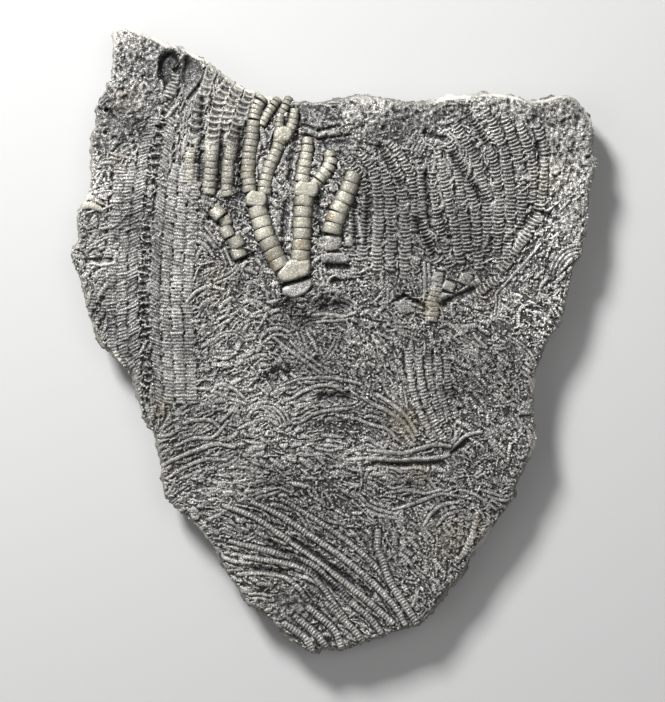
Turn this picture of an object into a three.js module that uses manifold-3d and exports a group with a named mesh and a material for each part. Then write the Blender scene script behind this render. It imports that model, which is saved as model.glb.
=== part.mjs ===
// Crinoid fossil: one thin slab of dark shale with several sea lilies lying in relief on its face.
// Millimetres, +Z up. The slab lies on its flat underside at z = 0 with the fossils facing up; the
// origin is under the middle of its bounding box, +Y runs towards the broken top edge of the slab.
import * as THREE from "three";
import { mergeVertices } from "three/addons/utils/BufferGeometryUtils.js";
import Module from "manifold-3d";

// Driving dimensions.
const FACE_HEIGHT = 11.2; // middle of the fossil face above the underside
const FACE_SWELL = 0.9; // how far the face rises and dips along the bedding
const FACE_CENTRE = [0, 5]; // every point of the outline can be seen from here
const FACE_RINGS = 7; // rings of facets from the rim to the middle
const CRUMBLE = 0.35; // how far the broken edge wanders in and out
const BRACHIAL_SIDES = 6; // facets round a large arm plate
const RIDGE_SIDES = 5; // facets round a slender arm or stem
const RIDGE_STEP = 8; // length of a facet along a slender arm
const PROUD = 0.42; // share of an arm's width that stands out of the stone
const POCKET = { centre: [-38.6, 66.2], reach: [5.4, 6.0, 2.6], above: 1.0 }; // hollow left by a lost piece

// The broken edge from the underside up: height above the underside, and how far inside the outline.
const EDGE_LAYERS = [
  [0, 3.0],
  [1.6, 1.6],
  [3.4, 1.9],
  [5.2, 0.5],
  [7.4, 0],
  [9.4, 0.5],
];
const RIM_INSET = 1.5; // where the face itself begins

// Outline of the slab, clockwise from the peak at its top left.
const OUTLINE = [
  [-55.6, 78.0], [-52.0, 79.0], [-49.6, 77.7], [-45.0, 76.0], [-42.0, 74.2], [-38.6, 74.0],
  [-35.0, 71.8], [-32.0, 70.7], [-30.4, 68.4], [-27.2, 66.6], [-24.5, 64.5], [-19.5, 62.3],
  [-15.0, 61.0], [-12.2, 60.5], [-10.9, 61.1], [-9.8, 60.0], [-4.5, 59.9], [0.0, 60.6],
  [4.6, 61.6], [8.4, 61.4], [14.0, 60.8], [19.0, 60.1], [25.0, 60.2], [29.0, 61.3],
  [35.0, 61.6], [38.0, 62.2], [42.5, 61.9], [46.0, 61.1], [48.6, 60.3], [53.0, 60.6],
  [56.0, 61.6], [59.2, 61.5], [61.4, 59.8], [63.3, 57.8], [64.8, 54.8], [65.2, 50.5],
  [65.2, 46.6], [66.4, 45.5], [65.8, 43.0], [64.4, 38.6], [63.9, 33.0], [63.9, 28.0],
  [62.9, 24.6], [62.2, 21.0], [60.4, 19.0], [59.2, 13.8], [58.1, 8.5], [56.8, 4.2],
  [54.2, 0.8], [52.4, -3.6], [50.6, -8.6], [49.9, -14.0], [50.2, -20.5], [51.0, -24.8],
  [49.9, -28.0], [47.7, -32.6], [45.3, -36.8], [45.1, -39.6], [42.0, -44.2], [38.0, -50.0],
  [34.2, -54.8], [32.8, -58.4], [28.5, -63.0], [25.2, -68.0], [21.8, -71.7], [17.6, -72.9],
  [12.0, -74.8], [5.0, -77.2], [1.6, -78.1], [-2.8, -77.7], [-5.2, -79.0], [-8.4, -77.4],
  [-11.5, -74.8], [-15.0, -71.8], [-17.6, -69.2], [-22.0, -66.5], [-24.8, -61.8], [-28.6, -56.4],
  [-30.6, -52.2], [-34.4, -47.2], [-39.0, -43.4], [-43.0, -39.0], [-43.6, -34.0], [-44.2, -29.0],
  [-45.2, -24.2], [-48.4, -19.6], [-50.0, -13.4], [-51.4, -9.0], [-55.2, -4.4], [-58.8, -1.4],
  [-61.2, 4.0], [-62.9, 9.4], [-64.0, 15.0], [-65.9, 19.6], [-66.4, 22.4], [-64.5, 25.0],
  [-65.2, 30.8], [-63.7, 34.0], [-61.8, 37.2], [-61.3, 43.0], [-61.5, 51.6], [-60.1, 54.0],
  [-60.1, 58.8], [-58.0, 63.0], [-56.3, 65.8], [-55.8, 71.0],
];

// Large arms of the main crown: [x, y, width] along the arm from its root, and the length of a plate.
const LARGE_ARMS = {
  stalk: { plate: 2.6, line: [[-10.2, 14.2, 5.8], [-9.6, 16.6, 6.4], [-9.6, 19.4, 6.2]] },
  left: { plate: 2.5, line: [[-13.0, 17.6, 4.6], [-15.6, 22.2, 4.6], [-18.2, 29.0, 4.5], [-19.6, 36.6, 4.3]] },
  left_outer: { plate: 2.2, line: [[-21.1, 37.2, 3.1], [-21.7, 43.0, 3.2], [-20.9, 50.0, 3.1], [-20.2, 55.6, 3.0]] },
  left_outer_tip: { plate: 2.0, line: [[-20.2, 55.4, 2.9], [-18.9, 58.2, 2.8], [-17.3, 60.6, 2.6]] },
  left_outer_twig: { plate: 2.0, line: [[-18.3, 53.8, 2.1], [-16.6, 57.0, 2.2], [-14.8, 59.6, 2.0]] },
  left_inner: { plate: 2.2, line: [[-18.0, 37.4, 3.2], [-16.9, 42.0, 3.2], [-14.9, 47.4, 3.0], [-13.1, 51.0, 3.4]] },
  left_inner_tip: { plate: 2.1, line: [[-13.9, 52.0, 2.0], [-13.2, 56.0, 2.1], [-11.4, 60.2, 1.9]] },
  left_inner_twig: { plate: 2.0, line: [[-11.7, 51.8, 2.4], [-10.8, 54.2, 2.4], [-10.0, 57.0, 2.1]] },
  right: { plate: 2.9, line: [[-8.5, 18.8, 4.9], [-8.6, 24.0, 4.7], [-8.2, 31.0, 4.4], [-7.6, 38.4, 4.3]] },
  right_inner: { plate: 2.3, line: [[-8.1, 39.4, 3.4], [-7.6, 44.0, 3.1], [-6.7, 50.8, 2.6]] },
  right_outer: { plate: 2.2, line: [[-5.0, 39.4, 3.1], [-2.7, 41.6, 3.2], [-1.1, 44.6, 3.1], [-1.1, 47.8, 3.3]] },
  far_right: { plate: 2.5, line: [[-1.6, 24.0, 4.4], [-0.4, 29.0, 4.5], [2.0, 34.6, 4.3], [4.9, 41.8, 3.6]] },
  broken: { plate: 2.7, line: [[-23.3, 21.4, 3.6], [-24.2, 25.0, 4.0], [-26.8, 29.4, 3.2], [-30.0, 33.2, 3.4]] },
  outer_a: { plate: 2.6, line: [[-26.9, 36.2, 3.1], [-26.4, 43.0, 3.1], [-24.8, 51.0, 2.8], [-20.8, 61.6, 2.5]] },
  outer_b: { plate: 2.6, line: [[-31.6, 36.6, 2.9], [-30.8, 45.0, 2.9], [-29.8, 55.0, 2.9], [-26.4, 63.6, 2.6]] },
  outer_c: { plate: 2.3, line: [[-28.0, 51.6, 1.9], [-26.2, 56.6, 2.0], [-23.4, 62.8, 2.0]] },
  outer_d: { plate: 2.4, line: [[-35.6, 49.6, 2.6], [-34.2, 56.0, 2.6], [-31.8, 63.4, 2.3]] },
};

// Slender arms, stems and cirri that stand out in relief: [x, y, width] along each.
const RIDGES = {
  feather_arm: [[-40.6, 58.0, 2.6], [-42.6, 45.0, 2.8], [-45.6, 25.0, 3.0], [-47.6, 5.0, 3.0], [-49.0, -10.0, 2.6]],
  crown_arm_a: [[7.6, 43.0, 2.6], [8.4, 33.0, 2.8], [9.0, 21.0, 2.6]],
  crown_arm_b: [[11.0, 47.0, 2.2], [14.3, 41.0, 2.6], [14.2, 31.0, 2.7], [14.8, 19.0, 2.4]],
  crown_arm_c: [[12.6, 49.6, 2.2], [17.6, 41.0, 2.6], [17.8, 31.0, 2.6], [18.8, 19.0, 2.4]],
  crown_arm_d: [[18.6, 47.0, 2.4], [20.4, 35.0, 2.6], [23.4, 27.0, 2.6], [26.8, 18.0, 2.4]],
  crown_arm_e: [[31.4, 42.0, 2.2], [31.4, 32.0, 2.4], [29.4, 19.0, 2.4]],
  crown_arm_f: [[32.0, 54.0, 2.2], [37.4, 46.0, 2.6], [38.8, 35.0, 2.6], [34.6, 18.0, 2.6]],
  crown_arm_g: [[36.0, 57.0, 2.2], [41.4, 48.0, 2.6], [42.6, 35.0, 2.6], [38.0, 18.0, 2.4]],
  crown_arm_h: [[41.0, 57.0, 2.2], [45.0, 45.0, 2.6], [45.2, 33.0, 2.6], [41.0, 20.0, 2.4]],
  crown_arm_i: [[46.6, 54.0, 2.2], [49.0, 42.0, 2.4], [48.0, 31.0, 2.4], [43.6, 22.0, 2.2]],
  crown_root: [[25.2, 8.0, 3.2], [26.0, 14.0, 3.4], [31.4, 16.0, 3.2]],
  long_strand_a: [[-22.0, -45.0, 1.8], [-10.0, -50.6, 1.9], [0.0, -58.6, 2.0], [9.0, -70.0, 2.0]],
  long_strand_b: [[-20.0, -53.0, 1.8], [-8.0, -56.6, 1.8], [0.0, -64.0, 2.0], [6.0, -73.0, 2.0]],
  long_strand_c: [[-12.0, -44.0, 1.6], [2.0, -52.6, 1.8], [14.0, -66.6, 1.8]],
  looped_cirrus: [[10.0, -29.4, 1.6], [20.0, -29.8, 1.6], [29.0, -28.2, 1.6], [34.0, -23.6, 1.5]],
};

const wasm = await Module();
wasm.setup();

/** A closed geometry as a manifold solid. */
function solidOf(geometry) {
  const bare = geometry.index ? geometry.toNonIndexed() : geometry.clone();
  bare.deleteAttribute("normal");
  bare.deleteAttribute("uv");
  const merged = mergeVertices(bare, 1e-4);
  return new wasm.Manifold(
    new wasm.Mesh({
      numProp: 3,
      vertProperties: merged.attributes.position.array,
      triVerts: new Uint32Array(merged.index.array),
    }),
  );
}

/** A manifold solid as a three.js geometry. */
function geometryOf(solid) {
  const mesh = solid.getMesh();
  const geometry = new THREE.BufferGeometry();
  geometry.setAttribute("position", new THREE.BufferAttribute(mesh.vertProperties, 3));
  geometry.setIndex(new THREE.BufferAttribute(mesh.triVerts, 1));
  geometry.computeVertexNormals();
  return geometry;
}

/** A repeatable value from -1 to 1 for a pair of counters. */
function chance(i, j) {
  const wave = Math.sin(i * 12.9898 + j * 78.233) * 43758.5453;
  return 2 * (wave - Math.floor(wave)) - 1;
}

/** Height of the bedding surface that the fossils lie on. */
function faceHeight(x, y) {
  const swell = Math.sin(x / 19 + 0.6) * Math.cos(y / 23 - 0.4) + 0.5 * Math.sin((x + y) / 11);
  return FACE_HEIGHT + 0.5 * FACE_SWELL * swell;
}

/** The outline moved inwards by an inset, towards the middle of the face. */
function insetRing(inset, layer) {
  const [cx, cy] = FACE_CENTRE;
  return OUTLINE.map(([x, y], i) => {
    const reach = Math.hypot(x - cx, y - cy);
    const wander = layer === 4 ? 0 : CRUMBLE * chance(i, layer);
    const share = 1 - (inset + wander) / reach;
    return [cx + (x - cx) * share, cy + (y - cy) * share];
  });
}

/** The bare stone: edge layers from the underside up, then rings of facets in to the middle. */
function stone() {
  const rings = EDGE_LAYERS.map(([z, inset], layer) => insetRing(inset, layer).map(([x, y]) => [x, y, z]));
  const rim = insetRing(RIM_INSET, EDGE_LAYERS.length);
  const [cx, cy] = FACE_CENTRE;
  for (let k = 0; k < FACE_RINGS; k++) {
    const share = 1 - k / FACE_RINGS;
    rings.push(
      rim.map(([x, y]) => {
        const [px, py] = [cx + (x - cx) * share, cy + (y - cy) * share];
        return [px, py, faceHeight(px, py)];
      }),
    );
  }
  const count = OUTLINE.length;
  const points = rings.flat();
  const underside = points.push([cx, cy, 0]) - 1;
  const middle = points.push([cx, cy, faceHeight(cx, cy)]) - 1;
  const top = (rings.length - 1) * count;
  const faces = [];
  for (let i = 0; i < count; i++) {
    const j = (i + 1) % count;
    faces.push([underside, i, j], [middle, top + j, top + i]);
    for (let r = 0; r < rings.length - 1; r++) {
      const [a, b, c, d] = [r * count + i, r * count + j, (r + 1) * count + i, (r + 1) * count + j];
      faces.push([a, c, d], [a, d, b]);
    }
  }
  const geometry = new THREE.BufferGeometry();
  geometry.setAttribute("position", new THREE.Float32BufferAttribute(points.flat(), 3));
  geometry.setIndex(faces.flat());
  return solidOf(geometry);
}

/** A smooth run along [x, y, width] points, cut into lengths of about one step. */
function stations(line, step) {
  const curve = new THREE.CatmullRomCurve3(line.map(([x, y, w]) => new THREE.Vector3(x, y, w)));
  const count = Math.max(2, Math.round(curve.getLength() / step));
  return curve.getSpacedPoints(count).map((p) => [p.x, p.y, p.z]);
}

/** Plates lying end to end along a line, each a little wider where it starts. */
function chain(line, step, sides, taper) {
  const cuts = stations(line, step);
  return cuts.slice(1).map(([x1, y1, w1], i) => {
    const [x0, y0, w0] = cuts[i];
    const length = Math.hypot(x1 - x0, y1 - y0);
    const plate = new THREE.CylinderGeometry((w1 / 2) * taper, w0 / 2, length + 0.25, sides);
    plate.rotateY(Math.PI / sides);
    plate.rotateZ(Math.atan2(y1 - y0, x1 - x0) - Math.PI / 2);
    const [x, y] = [(x0 + x1) / 2, (y0 + y1) / 2];
    plate.translate(x, y, faceHeight(x, y) - (0.5 - PROUD) * w0);
    return solidOf(plate);
  });
}

/** The smooth hollow near the top left corner, as the solid that is taken out. */
function pocket() {
  const [x, y] = POCKET.centre;
  const dish = new THREE.SphereGeometry(1, 12, 8);
  dish.scale(...POCKET.reach);
  dish.translate(x, y, faceHeight(x, y) + POCKET.above);
  return solidOf(dish);
}

/** The whole slab as one solid: the stone with its arms, stems and cirri grown into the face. */
function slab() {
  const arms = Object.values(LARGE_ARMS).flatMap(({ line, plate }) => chain(line, plate, BRACHIAL_SIDES, 0.94));
  const ridges = Object.values(RIDGES).flatMap((line) => chain(line, RIDGE_STEP, RIDGE_SIDES, 0.97));
  return wasm.Manifold.union([stone(), ...arms, ...ridges]).subtract(pocket());
}

const slabMesh = new THREE.Mesh(
  geometryOf(slab()),
  new THREE.MeshStandardMaterial({ color: 0x76756f, roughness: 0.55, metalness: 0.25 }),
);
slabMesh.name = "fossil_slab";

const crinoidFossil = new THREE.Group();
crinoidFossil.add(slabMesh);

export default crinoidFossil;
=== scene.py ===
"""Crinoid fossil: a thin slab of dark shale whose face is crowded with sea lilies in relief.

The slab lies on its flat underside with the fossils up. Lengths in the tables below are millimetres,
x to the right and y towards the broken top edge; MM turns them into metres as the meshes are made.
"""
import math

import bmesh
import bpy
import numpy as np
from mathutils import Matrix, Vector, noise


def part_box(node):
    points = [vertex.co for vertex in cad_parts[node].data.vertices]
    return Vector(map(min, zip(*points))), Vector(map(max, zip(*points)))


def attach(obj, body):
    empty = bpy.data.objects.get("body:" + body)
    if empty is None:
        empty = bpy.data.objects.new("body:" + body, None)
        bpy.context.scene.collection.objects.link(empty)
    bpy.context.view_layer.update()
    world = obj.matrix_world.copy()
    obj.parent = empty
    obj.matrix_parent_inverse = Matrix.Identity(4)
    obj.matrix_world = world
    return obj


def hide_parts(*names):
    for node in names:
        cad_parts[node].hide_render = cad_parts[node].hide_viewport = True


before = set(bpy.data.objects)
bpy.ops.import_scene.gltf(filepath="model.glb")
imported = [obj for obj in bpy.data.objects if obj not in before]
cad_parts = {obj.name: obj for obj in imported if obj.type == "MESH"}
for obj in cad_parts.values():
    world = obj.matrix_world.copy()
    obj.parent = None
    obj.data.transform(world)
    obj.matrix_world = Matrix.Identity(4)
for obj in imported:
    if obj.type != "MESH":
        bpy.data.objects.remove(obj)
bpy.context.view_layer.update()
SLAB_NODE = "fossil_slab"
SLAB_LOW, SLAB_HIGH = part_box(SLAB_NODE)

bl_info = {
    "name": "Crinoid fossil slab",
    "version": (1, 0, 0),
    "blender": (4, 5, 0),
    "location": "View3D > Sidebar > Fossil",
    "description": "Builds a shale slab crowded with sea lilies, their arms, side branches and cirri",
    "category": "Add Mesh",
}

MM = 0.001
SEED = 1837

# ---------------------------------------------------------------------------------------------------
# Where everything lies. Each arm is (length of one ossicle, [(x, y, width), ...]).

MAIN_CROWN = {
    "left_arm": (2.62, [(-13.0, 17.8, 4.7), (-14.6, 20.6, 4.9), (-16.9, 25.2, 5.1), (-18.4, 29.6, 5.0),
                        (-19.4, 33.4, 4.9)]),
    "left_outer": (1.62, [(-21.0, 37.0, 3.6), (-21.6, 41.0, 3.7), (-21.4, 45.0, 3.7), (-20.7, 50.0, 3.6),
                          (-20.1, 54.8, 3.6)]),
    "left_outer_tip": (1.25, [(-20.2, 55.2, 3.4), (-19.5, 58.0, 3.3), (-18.1, 60.2, 3.2),
                              (-17.1, 61.4, 3.1)]),
    "left_outer_twig": (1.2, [(-18.2, 53.6, 2.2), (-16.9, 56.2, 2.4), (-15.2, 58.8, 2.4),
                              (-14.0, 60.3, 2.3)]),
    "left_inner": (1.75, [(-17.6, 36.4, 3.6), (-17.2, 40.0, 3.6), (-15.9, 44.0, 3.4), (-14.2, 48.0, 3.3),
                          (-13.3, 50.6, 3.9)]),
    "left_inner_tip": (1.2, [(-13.9, 52.0, 2.4), (-13.7, 55.0, 2.4), (-12.6, 58.0, 2.4),
                             (-11.3, 60.7, 2.3)]),
    "left_inner_twig": (1.35, [(-11.6, 51.6, 2.8), (-10.6, 53.8, 2.8), (-10.1, 56.4, 2.6),
                               (-9.9, 57.8, 2.3)]),
    "right_arm": (2.72, [(-8.6, 19.6, 5.0), (-8.3, 23.0, 5.0), (-8.1, 28.0, 4.8), (-7.9, 32.0, 4.9),
                         (-7.4, 36.0, 5.1)]),
    "right_inner": (1.9, [(-8.1, 39.4, 4.0), (-7.5, 43.0, 3.7), (-7.0, 46.5, 3.4), (-6.7, 50.6, 2.9)]),
    "right_outer": (1.7, [(-5.0, 38.6, 3.4), (-3.0, 41.2, 3.5), (-1.5, 43.2, 3.5), (-0.9, 45.2, 3.4),
                          (-1.3, 47.2, 3.1)]),
    "far_right": (2.6, [(-0.8, 26.4, 5.3), (0.5, 31.0, 5.2), (2.6, 35.4, 5.0),
                        (4.0, 39.2, 4.5), (4.9, 41.9, 3.9)]),
}
OUTER_ARMS = {
    "arm_four": (1.5, [(-27.0, 35.8, 3.0), (-26.7, 41.5, 3.2), (-26.0, 46.5, 3.2), (-24.8, 51.5, 3.2),
                       (-23.2, 56.5, 3.1), (-21.8, 60.3, 3.0), (-21.0, 62.2, 2.8)]),
    "arm_five": (1.6, [(-31.3, 36.3, 3.3), (-31.0, 42.0, 3.4), (-30.4, 49.5, 3.4), (-29.7, 56.0, 3.3),
                       (-28.2, 61.0, 3.2), (-26.0, 64.6, 3.0)]),
    "arm_five_twig": (1.5, [(-27.6, 51.0, 2.2), (-26.8, 56.0, 2.7), (-25.3, 60.0, 2.8),
                            (-23.4, 63.8, 2.6)]),
    "arm_six": (2.0, [(-35.7, 49.0, 2.7), (-34.4, 54.5, 3.3), (-33.4, 59.4, 3.3), (-31.9, 64.0, 3.0),
                      (-30.6, 66.8, 2.7)]),
    "arm_six_root": (1.4, [(-36.2, 38.5, 2.3), (-36.1, 43.0, 2.5), (-35.8, 48.0, 2.6)]),
}
# Rounded plates at the forks and at the foot of the main crown: (height, outline).
CUSHIONS = [
    (1.95, [(-12.9, 14.3), (-9.6, 15.1), (-6.5, 16.2), (-6.0, 18.0), (-6.1, 20.0), (-9.0, 20.3),
            (-11.4, 20.1), (-14.5, 16.3)]),
    (2.0, [(-22.2, 33.8), (-22.2, 35.9), (-20.6, 37.5), (-19.2, 37.0), (-17.1, 36.9), (-16.8, 34.8),
           (-17.5, 33.2), (-19.8, 33.0)]),
    (2.1, [(-10.1, 36.0), (-10.0, 38.5), (-8.7, 39.8), (-6.6, 39.3), (-4.2, 39.7), (-3.9, 37.2),
           (-4.7, 35.6), (-7.4, 35.4)]),
    (1.5, [(-15.3, 50.4), (-15.1, 52.1), (-13.2, 53.5), (-10.8, 53.1), (-10.4, 51.2), (-11.5, 49.6),
           (-13.7, 49.4)]),
]
# Loose plates pressed into the face: (rise, tone, warmth, lean to the right, lean upwards, outline).
FACETS = [
    (0.8, 1.0, 0.0, 0.00, -0.12, [(-13.2, 12.8), (-11.6, 14.2), (-8.6, 14.9), (-5.8, 15.6), (-5.4, 13.8),
                                  (-7.2, 11.5), (-10.2, 10.4), (-12.8, 11.2)]),
    (0.6, 0.0, 0.4, 0.00, 0.05, [(-4.0, 25.8), (-0.9, 26.4), (1.8, 25.8), (2.0, 23.6), (0.7, 22.4),
                                 (-2.3, 22.0), (-4.1, 23.5)]),
    (0.5, 1.0, 0.1, 0.00, 0.00, [(2.4, 25.6), (4.2, 26.1), (5.2, 24.5), (4.0, 23.0), (2.6, 23.6)]),
    (0.4, 0.6, 0.0, 0.00, 0.05, [(-3.8, 21.5), (-1.0, 21.9), (3.4, 21.6), (3.9, 19.6), (1.0, 18.9),
                                 (-3.4, 19.2)]),
    (0.4, 1.4, 0.0, 0.00, 0.00, [(4.0, 31.2), (6.2, 31.4), (6.9, 30.0), (5.4, 29.2), (4.2, 30.0)]),
    (0.4, 1.6, 0.0, 0.00, 0.00, [(-1.6, 39.2), (0.6, 39.4), (1.2, 37.8), (-0.2, 36.8), (-1.4, 37.4)]),
    (0.3, 1.2, 0.0, 0.00, 0.00, [(-5.2, 32.7), (-2.6, 32.5), (-2.8, 30.9), (-5.0, 30.5)]),
    (0.35, 1.0, 0.1, 0.00, -0.03, [(15.0, 8.2), (16.3, 10.1), (18.7, 10.2), (20.1, 8.4), (18.9, 6.5),
                                   (16.3, 6.4)]),
    (0.12, 0.8, 0.1, 0.00, 0.00, [(-46.7, 73.0), (-45.0, 74.9), (-43.9, 72.4), (-44.3, 66.5), (-45.3, 64.2),
                                 (-46.9, 66.5)]),
    (0.4, 1.2, 1.0, 0.00, 0.06, [(-63.8, 34.3), (-61.0, 34.8), (-58.6, 33.7), (-56.2, 31.3), (-58.8, 32.0),
                                 (-61.2, 32.7), (-63.6, 32.7)]),
    (0.3, 0.2, 0.8, 0.00, 0.00, [(-63.8, 36.4), (-60.6, 36.5), (-58.4, 35.1), (-56.6, 33.2), (-59.0, 34.0),
                                 (-61.4, 34.9), (-63.6, 35.2)]),
    (0.5, 0.8, 0.4, -0.08, 0.08, [(25.4, 9.6), (26.8, 12.2), (28.9, 11.2), (27.6, 8.6)]),
    (0.5, 0.8, 0.3, -0.08, 0.08, [(26.7, 12.8), (27.6, 15.3), (30.7, 13.9), (29.5, 11.6)]),
    (0.5, 1.0, 0.3, -0.08, 0.08, [(30.7, 14.6), (31.8, 17.2), (35.2, 15.9), (33.6, 13.2)]),
]
# Plates fallen from an arm: (x, y, width, length, heading in degrees, lean).
FALLEN = [
    (-29.2, 31.7, 4.1, 3.1, -48, 0.22), (-27.3, 29.9, 3.5, 2.3, -64, -0.12),
    (-26.9, 27.0, 3.5, 3.1, -62, 0.16), (-24.6, 24.5, 4.2, 3.0, -62, -0.05),
    (-24.0, 21.7, 4.1, 2.9, -66, 0.2),
]
# Thin ropes: each is a route of (x, y, width).
RODS = {
    "rod_one": [(-27.4, 22.8, 0.8), (-25.7, 18.8, 0.8)],
    "rod_two": [(-28.4, 22.2, 0.7), (-27.0, 19.0, 0.7)],
    "rod_three": [(-32.2, 28.2, 0.9), (-29.2, 24.2, 0.8)],
    "pale_rod": [(-37.5, 36.5, 1.2), (-35.4, 34.3, 1.2)],
    "ring_a": [(-1.9, 14.3, 0.6), (-0.8, 15.7, 0.6), (1.2, 16.1, 0.5), (2.6, 15.2, 0.6)],
    "ring_b": [(-1.3, 13.6, 0.5), (0.2, 13.0, 0.5), (1.8, 13.5, 0.6)],
}
RIGHT_CROWN = {
    "a": (0.92, [(7.0, 20.0, 3.0), (7.5, 28.0, 3.0), (7.8, 35.0, 2.9), (6.6, 41.0, 2.6), (4.0, 45.0, 2.1)]),
    "b": (0.92, [(10.4, 17.0, 3.2), (10.8, 25.0, 3.3), (11.0, 36.0, 3.2), (9.6, 42.4, 2.8),
                 (6.8, 46.6, 2.3)]),
    "c": (0.92, [(13.9, 17.0, 3.0), (14.2, 25.0, 3.2), (13.9, 36.0, 3.2), (12.6, 42.6, 2.9),
                 (9.4, 47.4, 2.3)]),
    "d": (0.95, [(17.4, 15.0, 3.3), (17.7, 24.0, 3.4), (17.4, 34.0, 3.3), (15.8, 41.6, 3.0),
                 (12.0, 48.0, 2.5)]),
    "e": (0.92, [(20.0, 27.0, 2.6), (20.2, 33.0, 2.9), (19.2, 40.0, 2.9), (17.0, 45.6, 2.7),
                 (13.6, 50.0, 2.3)]),
    "f": (0.92, [(25.8, 19.0, 2.9), (23.4, 24.4, 3.0), (21.9, 30.0, 2.6), (22.0, 37.0, 2.7),
                 (21.2, 45.0, 2.5)]),
    "g": (0.92, [(29.0, 18.0, 3.0), (27.6, 24.0, 3.2), (25.6, 31.0, 2.9), (24.6, 38.0, 2.8),
                 (24.2, 44.0, 2.3)]),
    "h": (0.92, [(31.6, 19.0, 2.7), (30.4, 27.0, 2.9), (28.8, 33.0, 2.9), (27.6, 39.0, 2.7),
                 (25.8, 47.0, 2.3)]),
    "i": (0.88, [(33.4, 22.0, 2.7), (32.6, 29.0, 2.9), (31.7, 35.0, 2.8), (30.9, 41.0, 2.6),
                 (28.6, 47.6, 2.2)]),
    "j": (0.95, [(36.2, 17.5, 3.2), (35.6, 24.0, 3.3), (35.4, 30.0, 3.2), (34.4, 36.0, 2.8),
                 (31.9, 43.0, 2.6), (28.6, 49.6, 2.3)]),
    "k": (0.9, [(38.0, 21.0, 2.8), (38.2, 28.0, 3.0), (38.0, 35.0, 3.0), (36.2, 42.0, 2.9),
                (33.0, 49.4, 2.7), (30.0, 54.0, 2.3)]),
    "l": (0.9, [(40.6, 19.0, 2.9), (41.0, 28.0, 3.2), (40.9, 37.0, 3.2), (39.4, 45.0, 3.0),
                (36.4, 52.0, 2.8), (33.6, 57.0, 2.3)]),
    "m": (0.9, [(43.2, 20.0, 2.8), (43.8, 29.0, 3.0), (43.8, 38.0, 3.2), (42.6, 46.0, 3.0),
                (40.2, 52.6, 2.8), (37.8, 57.6, 2.3)]),
    "n": (0.9, [(46.4, 26.0, 2.8), (46.8, 34.0, 3.0), (46.4, 42.0, 3.0), (45.0, 49.0, 2.8),
                (42.4, 56.0, 2.3)]),
    "o": (1.0, [(41.4, 17.2, 3.0), (44.6, 21.6, 3.3), (47.8, 26.4, 3.3), (50.6, 32.0, 3.2),
                (52.0, 38.0, 2.8), (52.4, 43.0, 2.3)]),
    "p": (0.95, [(49.2, 34.0, 2.6), (49.6, 41.0, 2.8), (48.6, 47.6, 2.7), (46.4, 54.0, 2.3)]),
    "q": (0.95, [(52.6, 43.0, 2.3), (52.2, 48.0, 2.5), (50.4, 53.6, 2.2)]),
    "r": (0.95, [(4.0, 22.0, 2.6), (4.6, 28.0, 2.8), (5.0, 33.0, 2.6)]),
    "root_row": (1.1, [(31.6, 9.4, 2.6), (35.0, 11.6, 2.8), (38.6, 13.8, 2.6), (41.6, 16.0, 2.4)]),
}
CROWN_ROOT = {
    "column": (1.25, [(24.3, 4.6, 3.2), (24.6, 9.0, 3.4), (25.4, 13.2, 3.3), (26.0, 17.0, 3.0)]),
    "row": (1.5, [(29.4, 10.0, 2.0), (33.4, 12.8, 2.0), (36.4, 15.0, 1.9)]),
}
# The feathery arm: a route of (x, y, width), and the ladder of plates above it in the hollow.
FEATHER_AXIS = [(-40.4, 60.6, 2.3), (-42.6, 55.6, 2.6), (-44.2, 50.0, 2.8), (-45.2, 44.0, 2.9),
                (-46.2, 36.0, 3.0), (-47.0, 26.0, 3.0), (-47.7, 16.0, 3.0), (-47.7, 6.0, 2.9),
                (-47.0, -6.0, 2.7), (-46.6, -16.0, 2.3)]
POCKET_LADDER = [(-39.7, 66.6, 2.3), (-40.4, 63.6, 2.8), (-41.3, 60.2, 2.7)]
EDGE_RIBBONS = {
    "a": (0.85, [(-62.2, 5.4, 1.7), (-59.4, 12.0, 1.8), (-57.2, 19.0, 1.8), (-55.4, 27.0, 1.6)]),
    "b": (0.85, [(-60.0, 3.0, 1.6), (-57.4, 9.0, 1.8), (-55.6, 15.0, 1.8), (-54.4, 22.0, 1.6)]),
    "c": (0.85, [(-63.0, 13.0, 1.5), (-61.0, 19.0, 1.7), (-59.6, 26.0, 1.6)]),
    "d": (0.85, [(-54.0, -5.0, 1.7), (-52.0, -9.4, 1.7), (-49.8, -15.0, 1.7), (-48.0, -20.4, 1.5)]),
    "e": (0.85, [(-51.4, -4.6, 1.7), (-49.8, -9.4, 1.7), (-48.4, -14.6, 1.5)]),
}
LOWER_RIBBONS = {
    "a": (0.8, [(21.0, -2.0, 2.0), (21.2, -8.0, 2.1), (22.4, -13.6, 2.1), (24.6, -19.4, 2.0),
                (27.4, -25.0, 1.8)]),
    "b": (0.8, [(23.4, -1.0, 2.0), (23.6, -8.0, 2.1), (24.8, -13.6, 2.1), (26.8, -19.6, 1.9),
                (28.8, -24.0, 1.7)]),
    "c": (0.8, [(25.7, 0.0, 2.0), (26.0, -8.0, 2.1), (27.0, -14.0, 2.0), (28.8, -20.0, 1.8)]),
    "d": (0.8, [(28.0, -1.0, 1.9), (28.4, -9.0, 2.0), (29.6, -16.0, 1.9), (31.0, -21.0, 1.6)]),
    "e": (0.8, [(18.4, -2.0, 1.8), (18.8, -8.0, 1.9), (20.0, -14.6, 1.9), (22.4, -20.6, 1.8),
                (25.4, -26.0, 1.6)]),
    "f": (0.85, [(31.0, -30.4, 1.6), (32.0, -36.0, 1.7), (31.6, -42.0, 1.7), (31.4, -50.0, 1.5)]),
    "g": (0.85, [(35.6, -44.0, 1.5), (34.0, -50.0, 1.6), (30.6, -56.0, 1.5)]),
}
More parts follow.
